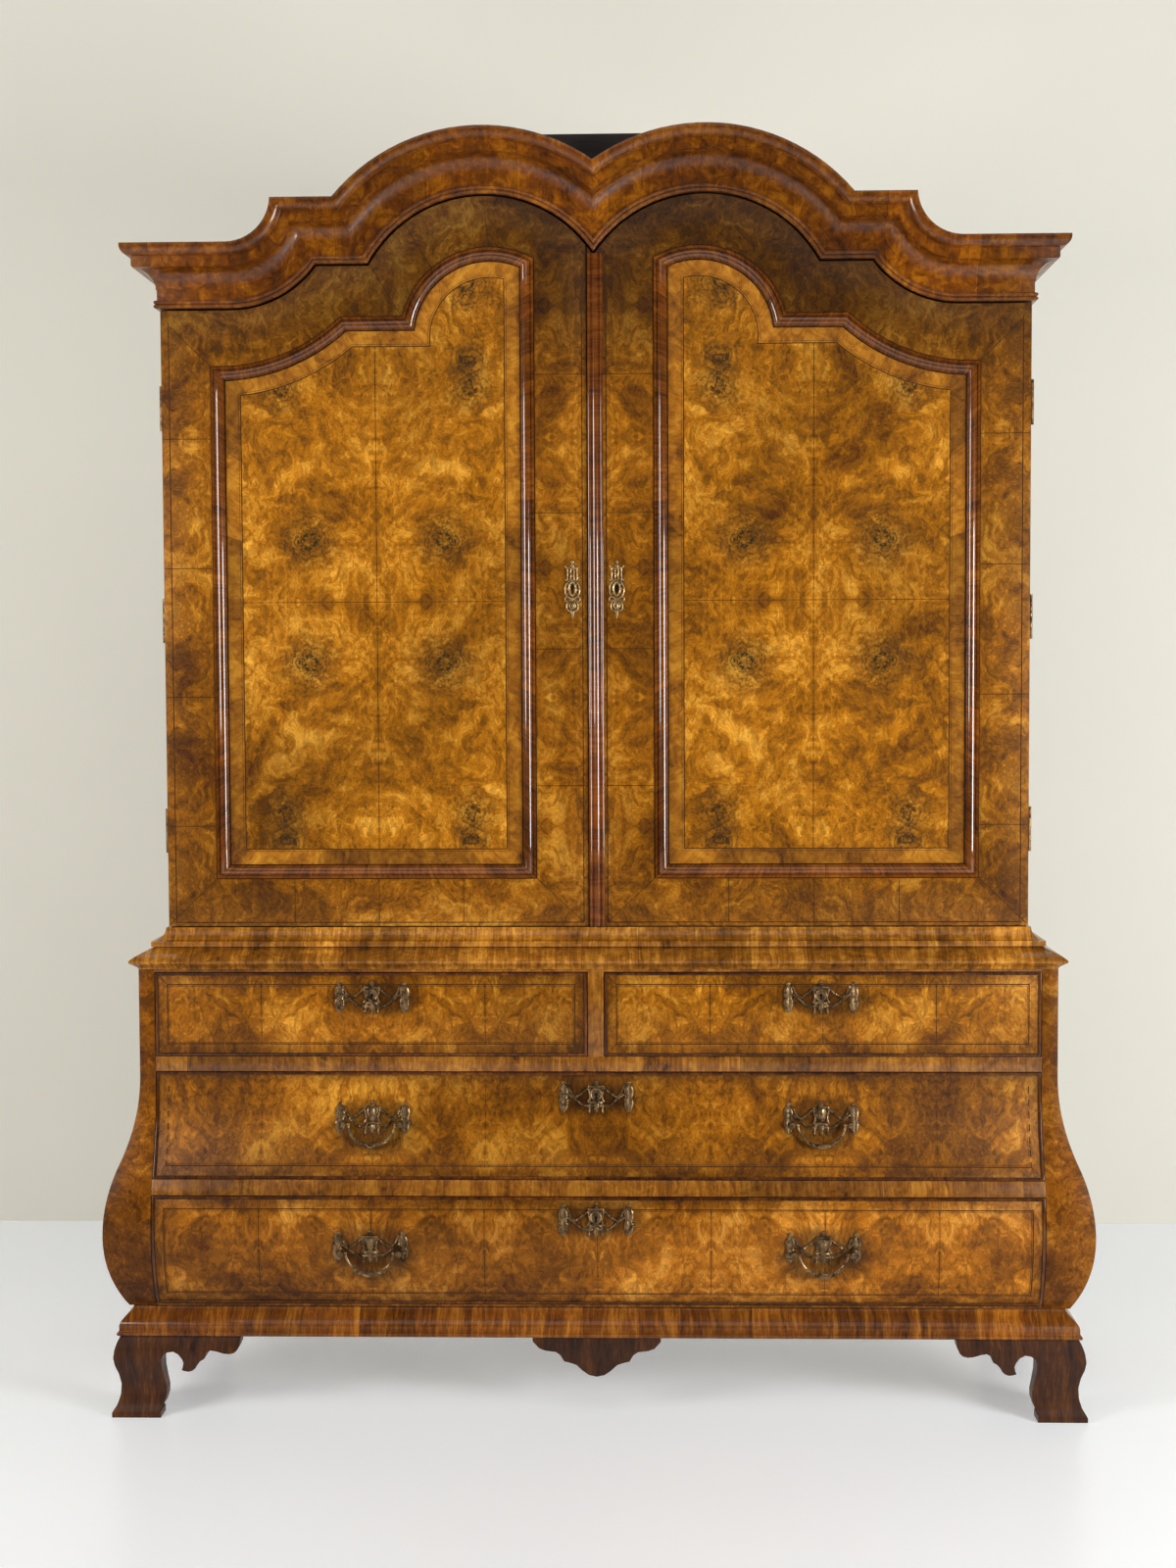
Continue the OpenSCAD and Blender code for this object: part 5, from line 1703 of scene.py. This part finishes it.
@dataclass
class Bail:
    """A drop handle: pins, knobs and an arc that swells into a leafy middle.

    Attributes:
        x: the middle of its pivot, in metres.
        z: the pivot's height, in metres.
        drop: how far the arc hangs under the pivot, in millimetres.
        end_x: half the arc's width, in millimetres.
        reach: how far the pivot stands off the face, in metres.
        pin: the knob and pin at an end, as distance out from it and radius, in millimetres.
        leaf_rows: where the rows of leaves lie round the arc's section, in degrees.
    """

    x: float
    z: float
    swell: Swell
    drop: float = 40
    end_x: float = 44.5
    reach: float = 0.012
    pin: Profile = ((-3.8, 1.4), (-3.0, 2.6), (-1.2, 3.5), (1.2, 3.5), (3.0, 2.6), (3.6, 1.95),
                    (5, 1.95), (14.4, 1.95))
    leaf_rows: tuple[float, ...] = (20, 55, 90, 125, 160)

    def __post_init__(self) -> None:
        """Works out the arc."""
        self.radius = (self.end_x**2 + self.drop**2) / (2 * self.drop)
        self.half = math.asin(self.end_x / self.radius)

    def point(self, u: float, v: float, w: float) -> Vector:
        """A place by the pivot, leaning with the face above the belly.

        Args:
            u: distance to the right.
            v: distance up the face.
            w: distance out from it.

        Returns:
            The point.
        """
        out = self.swell.outward(max(self.z, self.swell.belly_z))
        up = Vector((0, out.z, -out.y))
        pivot = Vector((self.x, FACE_Y - self.swell.at(self.z) - self.reach, self.z))
        return pivot + Vector((u, 0, 0)) + float(v) * up + float(w) * out

    def width(self, share: float) -> float:
        """Radius of the arc at a share of its half length from the middle."""
        middle = 1.9 * math.exp(-((share / 0.42) ** 2))
        return 2.3 + middle + 0.5 * math.exp(-(((share - 0.97) / 0.06) ** 2))

    def arc(self, share: float, around: float = 0, proud: float = 0) -> Colour:
        """A point of the arc's middle line, or on its skin, in millimetres.

        Args:
            share: its place, from -1 at the left end to 1.
            around: its place round the section, in degrees.
            proud: how far from the middle line, as a share of the arc's radius.

        Returns:
            The point, as right, up and out.
        """
        angle, off = share * self.half, proud * self.width(abs(share))
        r = self.radius + off * math.cos(math.radians(around))
        return (r * math.sin(angle), self.radius - self.drop - r * math.cos(angle),
                off * math.sin(math.radians(around)))

    def cast(self, casting: Casting) -> None:
        """Adds the handle's shapes to a casting.

        Args:
            casting: the casting.
        """
        casting.place = self.point
        casting.rod([(*self.arc(s), self.width(abs(s))) for s in np.linspace(-1, 1, 23)], 0.95,
                    False, sides=12)
        turn = np.linspace(0, math.tau, 14, endpoint=False)
        for side in (-1, 1):
            casting.skin([[np.array((side * (self.end_x + out), r * math.cos(a), r * math.sin(a)))
                           for a in turn] for out, r in smoothed(self.pin, 3)])

    def leaves(self) -> list[list[Vector]]:
        """Lines for the leaves, from the middle out to both sides."""
        return [[self.point(*(c / 1000 for c in self.arc(side * s, around, 0.88)))
                 for s in np.linspace(0.03, 0.52, 9)]
                for around in self.leaf_rows for side in (-1, 1)]


@dataclass
class Escutcheon:
    """A pierced door escutcheon with a lyre above its keyhole.

    Attributes:
        x: distance of its middle from the cabinet's, in metres.
        z: height of its middle, in metres.
        seat: how far its bars stand off the door, in millimetres.
        bars: the bars as (right, up, radius), drawn on the right of the middle.
        crown: the knob on top, as heights and radii.
        foot: the drop at the bottom.
        knot: the knot under the keyhole.
        bud: the bud in the lower loop.
    """

    side: Side
    shop: Workshop
    x: float = 0.0415
    z: float = 1.549
    seat: float = 1.4
    bars: tuple[tuple[Colour, ...], ...] = (
        ((0, 40, 1.9), (6, 39.4, 1.7), (11.5, 41, 1.6), (13.4, 44, 1.3)),
        ((9.4, 39, 1.5), (8.6, 30, 1.5), (9.4, 22, 1.6), (8, 17, 1.6)),
        ((8, 18, 1.4), (12, 17, 1.4), (14, 19.4, 1.2)),
        ((2, 38, 1.7), (3.4, 32, 1.5), (2.4, 26, 1.3), (3.6, 20, 1.6), (1, 16.4, 1.9)),
        ((4, 16.4, 1.5), (10, 12, 1.6), (13.4, 4, 1.6), (13.2, -6, 1.6), (9.6, -13, 1.6),
         (3, -17.4, 1.8)),
        ((9, -12, 1.4), (12.6, -15, 1.4), (14.2, -19, 1.5), (11.6, -22.4, 1.4), (8.6, -20.6, 1.2)),
        ((1.4, -18, 1.7), (7.4, -22.6, 1.5), (10.6, -29, 1.6), (10.4, -36, 1.6), (6.6, -40, 1.8),
         (1, -40.6, 1.8)),
        ((0.6, -21, 1.4), (4.6, -26, 1.3), (5.4, -32, 1.3), (1, -38, 1.5)),
        ((9.4, 11, 1.0), (6, 6, 1.0), (10.4, 1, 1.0), (6, -4, 1.0), (9.4, -10, 1.0)))
    crown: Profile = ((40, 2.4), (42.5, 4.2), (45.5, 3.6), (48, 1.7), (50, 2.9), (53, 2.7),
                      (55.3, 0.4))
    foot: Profile = ((-39, 1.2), (-40.5, 3), (-44, 3.1), (-50, 2), (-55.3, 0.5))
    knot: Profile = ((-15, 1), (-17, 3.2), (-19, 3.4), (-22, 1))
    bud: Profile = ((-24, 0.8), (-28, 2.6), (-33, 2.2), (-37, 0.8))

    def point(self, u: float, v: float, w: float) -> Colour:
        """A place right of, above and out from its middle."""
        return self.side.value * self.x + u, DOOR_Y - w, self.z + v

    def build(self) -> None:
        """Makes the escutcheon and the dark sheet that paints the shade in its keyhole."""
        word, body = self.side.word, f"{self.side.word}_door"
        casting = Casting(self.point)
        for bar in self.bars:
            casting.rod([(u, v, self.seat, r) for u, v, r in bar], 0.85)
        casting.hoop((0, 1), (6.2, 12.2), self.seat, 2.1, 0.85, 17, from_top=True)
        casting.turned(0, self.crown, 0.6)
        casting.turned(0, self.foot, 0.6)
        casting.turned(0, self.knot, 0.7)
        casting.turned(0, self.bud, 0.6, 5, 0.15)
        made = casting.finish(f"{word}_escutcheon", body, Slot.LIGHT_BRASS, self.shop.light_brass)
        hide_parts(f"{body}_escutcheon")
        # A dark plug in the opening paints the shade of the keyhole.
        width, height = (2.2, 9) if self.side is Side.LEFT else (3.9, 8)
        outline = [(width * math.cos(a) * (1.25 if math.sin(a) > 0 else 0.8),
                    1 + height * math.sin(a)) for a in np.linspace(0, math.tau, 24, endpoint=False)]
        hole = strip_mesh([[self.point(u / 1000, v / 1000, w / 1000) for u, v in outline]
                           for w in (-0.3, 0.25)])
        piece(f"{word}_keyhole", hole, body, Slot.DARK, self.shop.hole)


@dataclass
class Hardware:
    """Every casting and the screws.

    Attributes:
        side_x: distance of the side plates from the middle.
        small_z: height of the plates on the short drawers.
        rows: each long drawer's name and the heights of its side plates and its key plate.
        pivot_drop: how far a bail's pivot lies under the middle of its plate.
        hinge_screws: a hinge's screws, as height over its foot and distance from its middle line.
        case_leaf: x and y of the leaves' face on the case.
        door_leaf: the same on a door.
        lock_y: y of the lock's face.
        lock_x: x of the lock's screws.
        lock_z: their heights.
    """

    shop: Workshop
    swell: Swell
    side_x: float = 0.420
    small_z: float = 0.787
    rows: tuple[tuple[str, float, float], ...] = (
        ("middle", 0.5608, 0.6000), ("bottom", 0.3297, 0.3806))
    pivot_drop: float = 0.010
    hinge_z: Colour = (1.054, 1.453, 1.852)
    hinge_screws: Profile = ((0.010, 0), (0.042, -0.004), (0.074, 0))
    case_leaf: Point = (0.803, -0.16848)
    door_leaf: Point = (0.801, -0.16872)
    lock_y: float = -0.1541
    lock_x: Point = (-0.002, 0.052)
    lock_z: Point = (1.502, 1.596)

    def plates(self, body: str, plates: Sequence[SwagPlate], husk: Repeats) -> None:
        """Makes one drawer's plates, with husks along their swags.

        Args:
            body: the drawer.
            plates: its plates.
            husk: the repeated husk.
        """
        casting = Casting(plates[0].point)
        for plate in plates:
            plate.cast(casting)
        casting.finish(f"{body}_castings", body, Slot.BRASS, self.shop.brass)
        lines = [line for plate in plates for line in plate.strands()]
        husks = husk.mesh(lines, (0.0023, 0.0023, 0.0052), self.shop.brass, 0.0042)
        piece(f"{body}_husks", husks, body, Slot.BRASS, self.shop.brass)
        holes = [plate.dark() for plate in plates if plate.holed]
        piece(f"{body}_keyholes", merged(holes), body, Slot.DARK, self.shop.hole)

    def bail(self, name: str, bail: Bail, husk: Repeats) -> None:
        """Makes one drop handle and its leaves.

        Args:
            name: its row and side.
            bail: its sizes.
            husk: the repeated leaf.
        """
        casting = Casting(bail.point)
        bail.cast(casting)
        body = f"{name}_handle"
        made = casting.finish(f"{name}_drop", body, Slot.BRASS, self.shop.brass)
        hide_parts(f"{name}_bail")
        leaves = husk.mesh(bail.leaves(), (0.0011, 0.0011, 0.0046), self.shop.brass, 0.0036)
        piece(f"{name}_leaves", leaves, body, Slot.BRASS, self.shop.brass)

    def screws(self, screw: Repeats) -> None:
        """Sets the screws in the hinge leaves and round the lock.

        Args:
            screw: the repeated screw head.
        """
        rows = [(z + dz, dx) for z in self.hinge_z for dz, dx in self.hinge_screws]
        flat, proud, back = (0.0027, 0.0027, 0.00008), (0.0034, 0.0034, 0.0016), (0, 1, 0)
        groups = []
        for side in Side:
            (x, y), (door_x, door_y) = self.case_leaf, self.door_leaf
            groups.append((f"{side.word}_case_hinge_screws", "case", flat, (0, -1, 0),
                           [(side.value * (x + dx), y, z) for z, dx in rows]))
            groups.append((f"{side.word}_door_hinge_screws", f"{side.word}_door", flat, back,
                           [(side.value * (door_x - dx), door_y, z - 0.003) for z, dx in rows]))
        groups.append(("lock_screws", "right_door", proud, back,
                       [(x, self.lock_y, z) for x in self.lock_x for z in self.lock_z]))
        for name, body, size, outward, places in groups:
            mesh = screw.mesh([places], size, self.shop.light_brass, outward=outward)
            piece(name, mesh, body, Slot.LIGHT_BRASS, self.shop.light_brass)

    def build(self) -> None:
        """Makes the plates, handles, escutcheons and screws."""
        units = bud(), slotted_screw()
        husk, screw, swell = Repeats(units[0]), Repeats(units[1], along=False), self.swell
        for side in Side:
            plate = SwagPlate(side.value * self.side_x, self.small_z, swell, True, False)
            self.plates(f"{side.word}_small_drawer", [plate], husk)
        for row, side_z, key_z in self.rows:
            plates = [SwagPlate(side.value * self.side_x, side_z, swell) for side in Side]
            plates.append(SwagPlate(0, key_z, swell, True, False))
            self.plates(f"{row}_drawer", plates, husk)
            for side in Side:
                bail = Bail(side.value * self.side_x, side_z - self.pivot_drop, swell)
                self.bail(f"{row}_{side.word}", bail, husk)
        for side in Side:
            Escutcheon(side, self.shop).build()
        self.screws(screw)
        for unit in units:
            bpy.data.objects.remove(unit)


# ---------------------------------------------------------------- room


@dataclass
class Room:
    """Floor, wall, lamps and the camera of the photograph.

    Attributes:
        yaw: how far the camera is turned, in radians.
        pitch: how far it looks down.
        roll: how far it leans.
        half: half the width of floor and wall.
        sky: colour of the light from all round.
        sky_level: its strength.
        lamps: each lamp's name, place, target, size, power in watts and colour.
    """

    camera_place: Colour = (0.1035, -4.2456, 1.3981)
    yaw: float = -0.029013
    pitch: float = 0.052776
    roll: float = 0.0044266
    lens: float = 49.5
    film: float = 36
    half: float = 9
    wall_y: float = 1.15
    wall_z: float = 6
    floor_colour: Colour = (0.80, 0.82, 0.84)
    wall_colour: Colour = (0.70, 0.68, 0.60)
    sky: Colour = (1, 0.98, 0.94)
    sky_level: float = 0.055
    lamps: tuple[tuple[str, Colour, Colour, Point, float, Colour], ...] = (
        ("window_left", (-3.2, -2.5, 1.8), (0, 0, 1.5), (1.5, 1.2), 88, (1, 0.98, 0.95)),
        ("window_right", (3.3, -2.7, 1.3), (0.2, 0, 1.0), (1.4, 1.2), 140, (0.98, 0.99, 1)),
        ("ceiling", (0, -3.2, 4.2), (0, 0, 1.2), (5, 3), 50, (1, 0.98, 0.94)))

    def camera(self) -> None:
        """Stands the camera where the photograph was taken from."""
        data = bpy.data.cameras.new("camera")
        data.lens, data.sensor_width = self.lens, self.film
        data.clip_start, data.clip_end = 0.05, 60
        made = linked("camera", data)
        forward = Vector((math.sin(self.yaw) * math.cos(self.pitch),
                          math.cos(self.yaw) * math.cos(self.pitch), -math.sin(self.pitch)))
        right = Vector((math.cos(self.yaw), -math.sin(self.yaw), 0))
        down = forward.cross(right).normalized()
        turned = math.cos(self.roll) * right + math.sin(self.roll) * down
        up = -(forward.cross(turned)).normalized()
        made.matrix_world = Matrix.Translation(self.camera_place) @ Matrix(
            (turned, up, -forward)).transposed().to_4x4()
        bpy.context.scene.camera = made

    def plain(self, name: str, colour: Colour, emit: float, roughness: float) -> Shader:
        """A plain wall or floor finish, lifted a little where the camera sees it.

        Args:
            name: its name.
            colour: its colour.
            emit: how much it is lifted.
            roughness: its roughness.

        Returns:
            The finish.
        """
        s = Shader(name)
        shade = s.shaded(colour, s.between(s.noise(s.position(), 1.3, 3), 0.2, 0.8, 0.985, 1.01))
        path = s.node("ShaderNodeLightPath").outputs
        seen = s.math("MAXIMUM", path["Is Camera Ray"], path["Is Glossy Ray"])
        seen = s.math("MAXIMUM", seen, path["Is Transmission Ray"])
        s.dress(Base_Color=shade, Roughness=roughness, Specular_IOR_Level=0.3,
                Emission_Color=shade, Emission_Strength=s.mul(seen, emit))
        return s

    def clear_behind(self, s: Shader) -> None:
        """Makes a backdrop clear from behind, so that the back of the cabinet can be seen.

        Args:
            s: its finish.
        """
        mixed = s.node("ShaderNodeMixShader", {
            0: s.node("ShaderNodeNewGeometry").outputs["Backfacing"], 1: s.bsdf.outputs[0],
            2: s.node("ShaderNodeBsdfTransparent").outputs[0]})
        s.feed(s.tree.nodes["Material Output"].inputs["Surface"], mixed.outputs[0])

    def slab(self, name: str, low: Colour, high: Colour, material: bpy.types.Material) -> None:
        """A box, or where its depth is nothing a sheet facing the front, apart from the object.

        Args:
            name: its name.
            low: its lowest corner.
            high: its highest corner.
            material: its finish.
        """
        bm = bmesh.new()
        x0, y0, z0, x1, y1, z1 = *low, *high
        face = bm.faces.new([bm.verts.new(p) for p in
                             ((x0, y0, z0), (x1, y0, z0), (x1, y0, z1), (x0, y0, z1))])
        if y1 > y0:
            solid = bmesh.ops.extrude_face_region(bm, geom=[face])
            bmesh.ops.translate(bm, vec=(0, y1 - y0, 0), verts=[
                v for v in solid["geom"] if isinstance(v, bmesh.types.BMVert)])
            bmesh.ops.recalc_face_normals(bm, faces=bm.faces)
        made = linked(name, finished(bm, name))
        made.data.materials.append(material)

    def light(self) -> None:
        """Hangs the soft area lamps and sets the light from all round."""
        for name, place, target, size, power, colour in self.lamps:
            data = bpy.data.lights.new(name, "AREA")
            data.shape, data.size, data.size_y = "RECTANGLE", *size
            data.energy, data.color = power, colour
            aim = (Vector(target) - Vector(place)).to_track_quat("-Z", "Y")
            linked(name, data).matrix_world = Matrix.Translation(place) @ aim.to_matrix().to_4x4()
        world = bpy.data.worlds.new("room_light")
        world.use_nodes = True
        background = world.node_tree.nodes["Background"]
        background.inputs[0].default_value = (*self.sky, 1)
        background.inputs[1].default_value = self.sky_level
        bpy.context.scene.world = world

    def build(self) -> None:
        """Makes the room."""
        self.camera()
        floor = self.plain("floor_finish", self.floor_colour, 0.33, 0.28)
        self.slab("floor", (-self.half, -self.half, -0.05), (self.half, self.wall_y, 0),
                  floor.material)
        wall = self.plain("wall_finish", self.wall_colour, 0.25, 0.8)
        self.slab("wall", (-self.half, self.wall_y, 0), (self.half, self.wall_y, self.wall_z),
                  wall.material)
        self.clear_behind(wall)
        self.light()


# ---------------------------------------------------------------- the whole


@dataclass
class Cabinet:
    """The carried-over nodes and their finishes."""

    frame: dict
    shop: Workshop

    def finishes(self) -> list[tuple[str, bpy.types.Material, Slot, float]]:
        """Which finish the carried-over nodes get.

        Returns:
            Names of nodes, their finish, its slot and the width of their softened edges.
        """
        shop = self.shop
        return [
            ("back_feet apron_pendant", shop.foot, Slot.DARK, 0.0012),
            ("base_moulding", shop.moulding, Slot.DARK, 0.0008),
            ("waist_moulding cavetto_moulding", shop.waist, Slot.DARK, 0.0008),
            ("cornice_moulding cornice_astragal", shop.cornice, Slot.DARK, 0.0005),
            ("lower_side_left lower_side_right upper_side_left upper_side_right", shop.side,
             Slot.BURR, 0.001),
            ("drawer_rails drawer_divider upper_bottom_rail", shop.rail, Slot.DARK, 0.0004),
            ("drawer_beads_small_left drawer_beads_small_right drawer_bead_middle "
             "drawer_bead_bottom", shop.bead, Slot.DARK, 0.0008),
            *((f"{name}_front", finish, Slot.BURR, 0.0005)
              for name, finish in shop.drawers.items()),
            ("left_door_frame right_door_frame", shop.frame, Slot.BURR, 0.0008),
            ("left_door_panel right_door_panel", shop.side, Slot.BURR, 0),
            ("centre_strip", shop.upright, Slot.DARK, 0.0003),
            ("lower_bottom lower_top drawer_runners shelves shelf_battens upper_bottom", shop.oak,
             Slot.OAK, 0.0008),
            ("left_small_drawer_box right_small_drawer_box middle_drawer_box bottom_drawer_box",
             shop.box, Slot.OAK, 0.0006),
            ("lower_back upper_back", shop.back, Slot.OAK, 0.0008),
            ("upper_roof", shop.roof, Slot.OAK, 0.0008),
            ("cornice_board", shop.board, Slot.DARK, 0.0008),
            ("case_hinge_leaves left_door_hinge_leaves right_door_hinge_leaves door_lock",
             shop.brass, Slot.BRASS, 0.0002),
            ("left_small_drawer_plate right_small_drawer_plate middle_drawer_plates "
             "bottom_drawer_plates", shop.brass, Slot.BRASS, 0.0003),
        ]

    def build(self) -> None:
        """Finishes every carried-over node."""
        for names, material, slot, bevel in self.finishes():
            for name in names.split():
                refined(self.frame["nodes"][name], material, slot, bevel)


def main() -> None:
    """Builds the room and dresses the cabinet."""
    logging.basicConfig(level=logging.INFO, format="%(name)s %(message)s")
    bpy.context.scene.view_settings.view_transform = "Standard"
    for item in list(bpy.data.objects):
        bpy.data.objects.remove(item)
    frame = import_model()
    Room().build()
    shop = Workshop()
    Cabinet(frame, shop).build()
    outline = PanelOutline()
    for side in Side:
        Door(side, shop, outline).build()
        BracketFoot(side, shop).build()
    swell = Swell()
    for face in DRAWER_FACES:
        Drawer(face, swell, shop).build()
    Hardware(shop, swell).build()


if __name__ == "__main__":
    main()
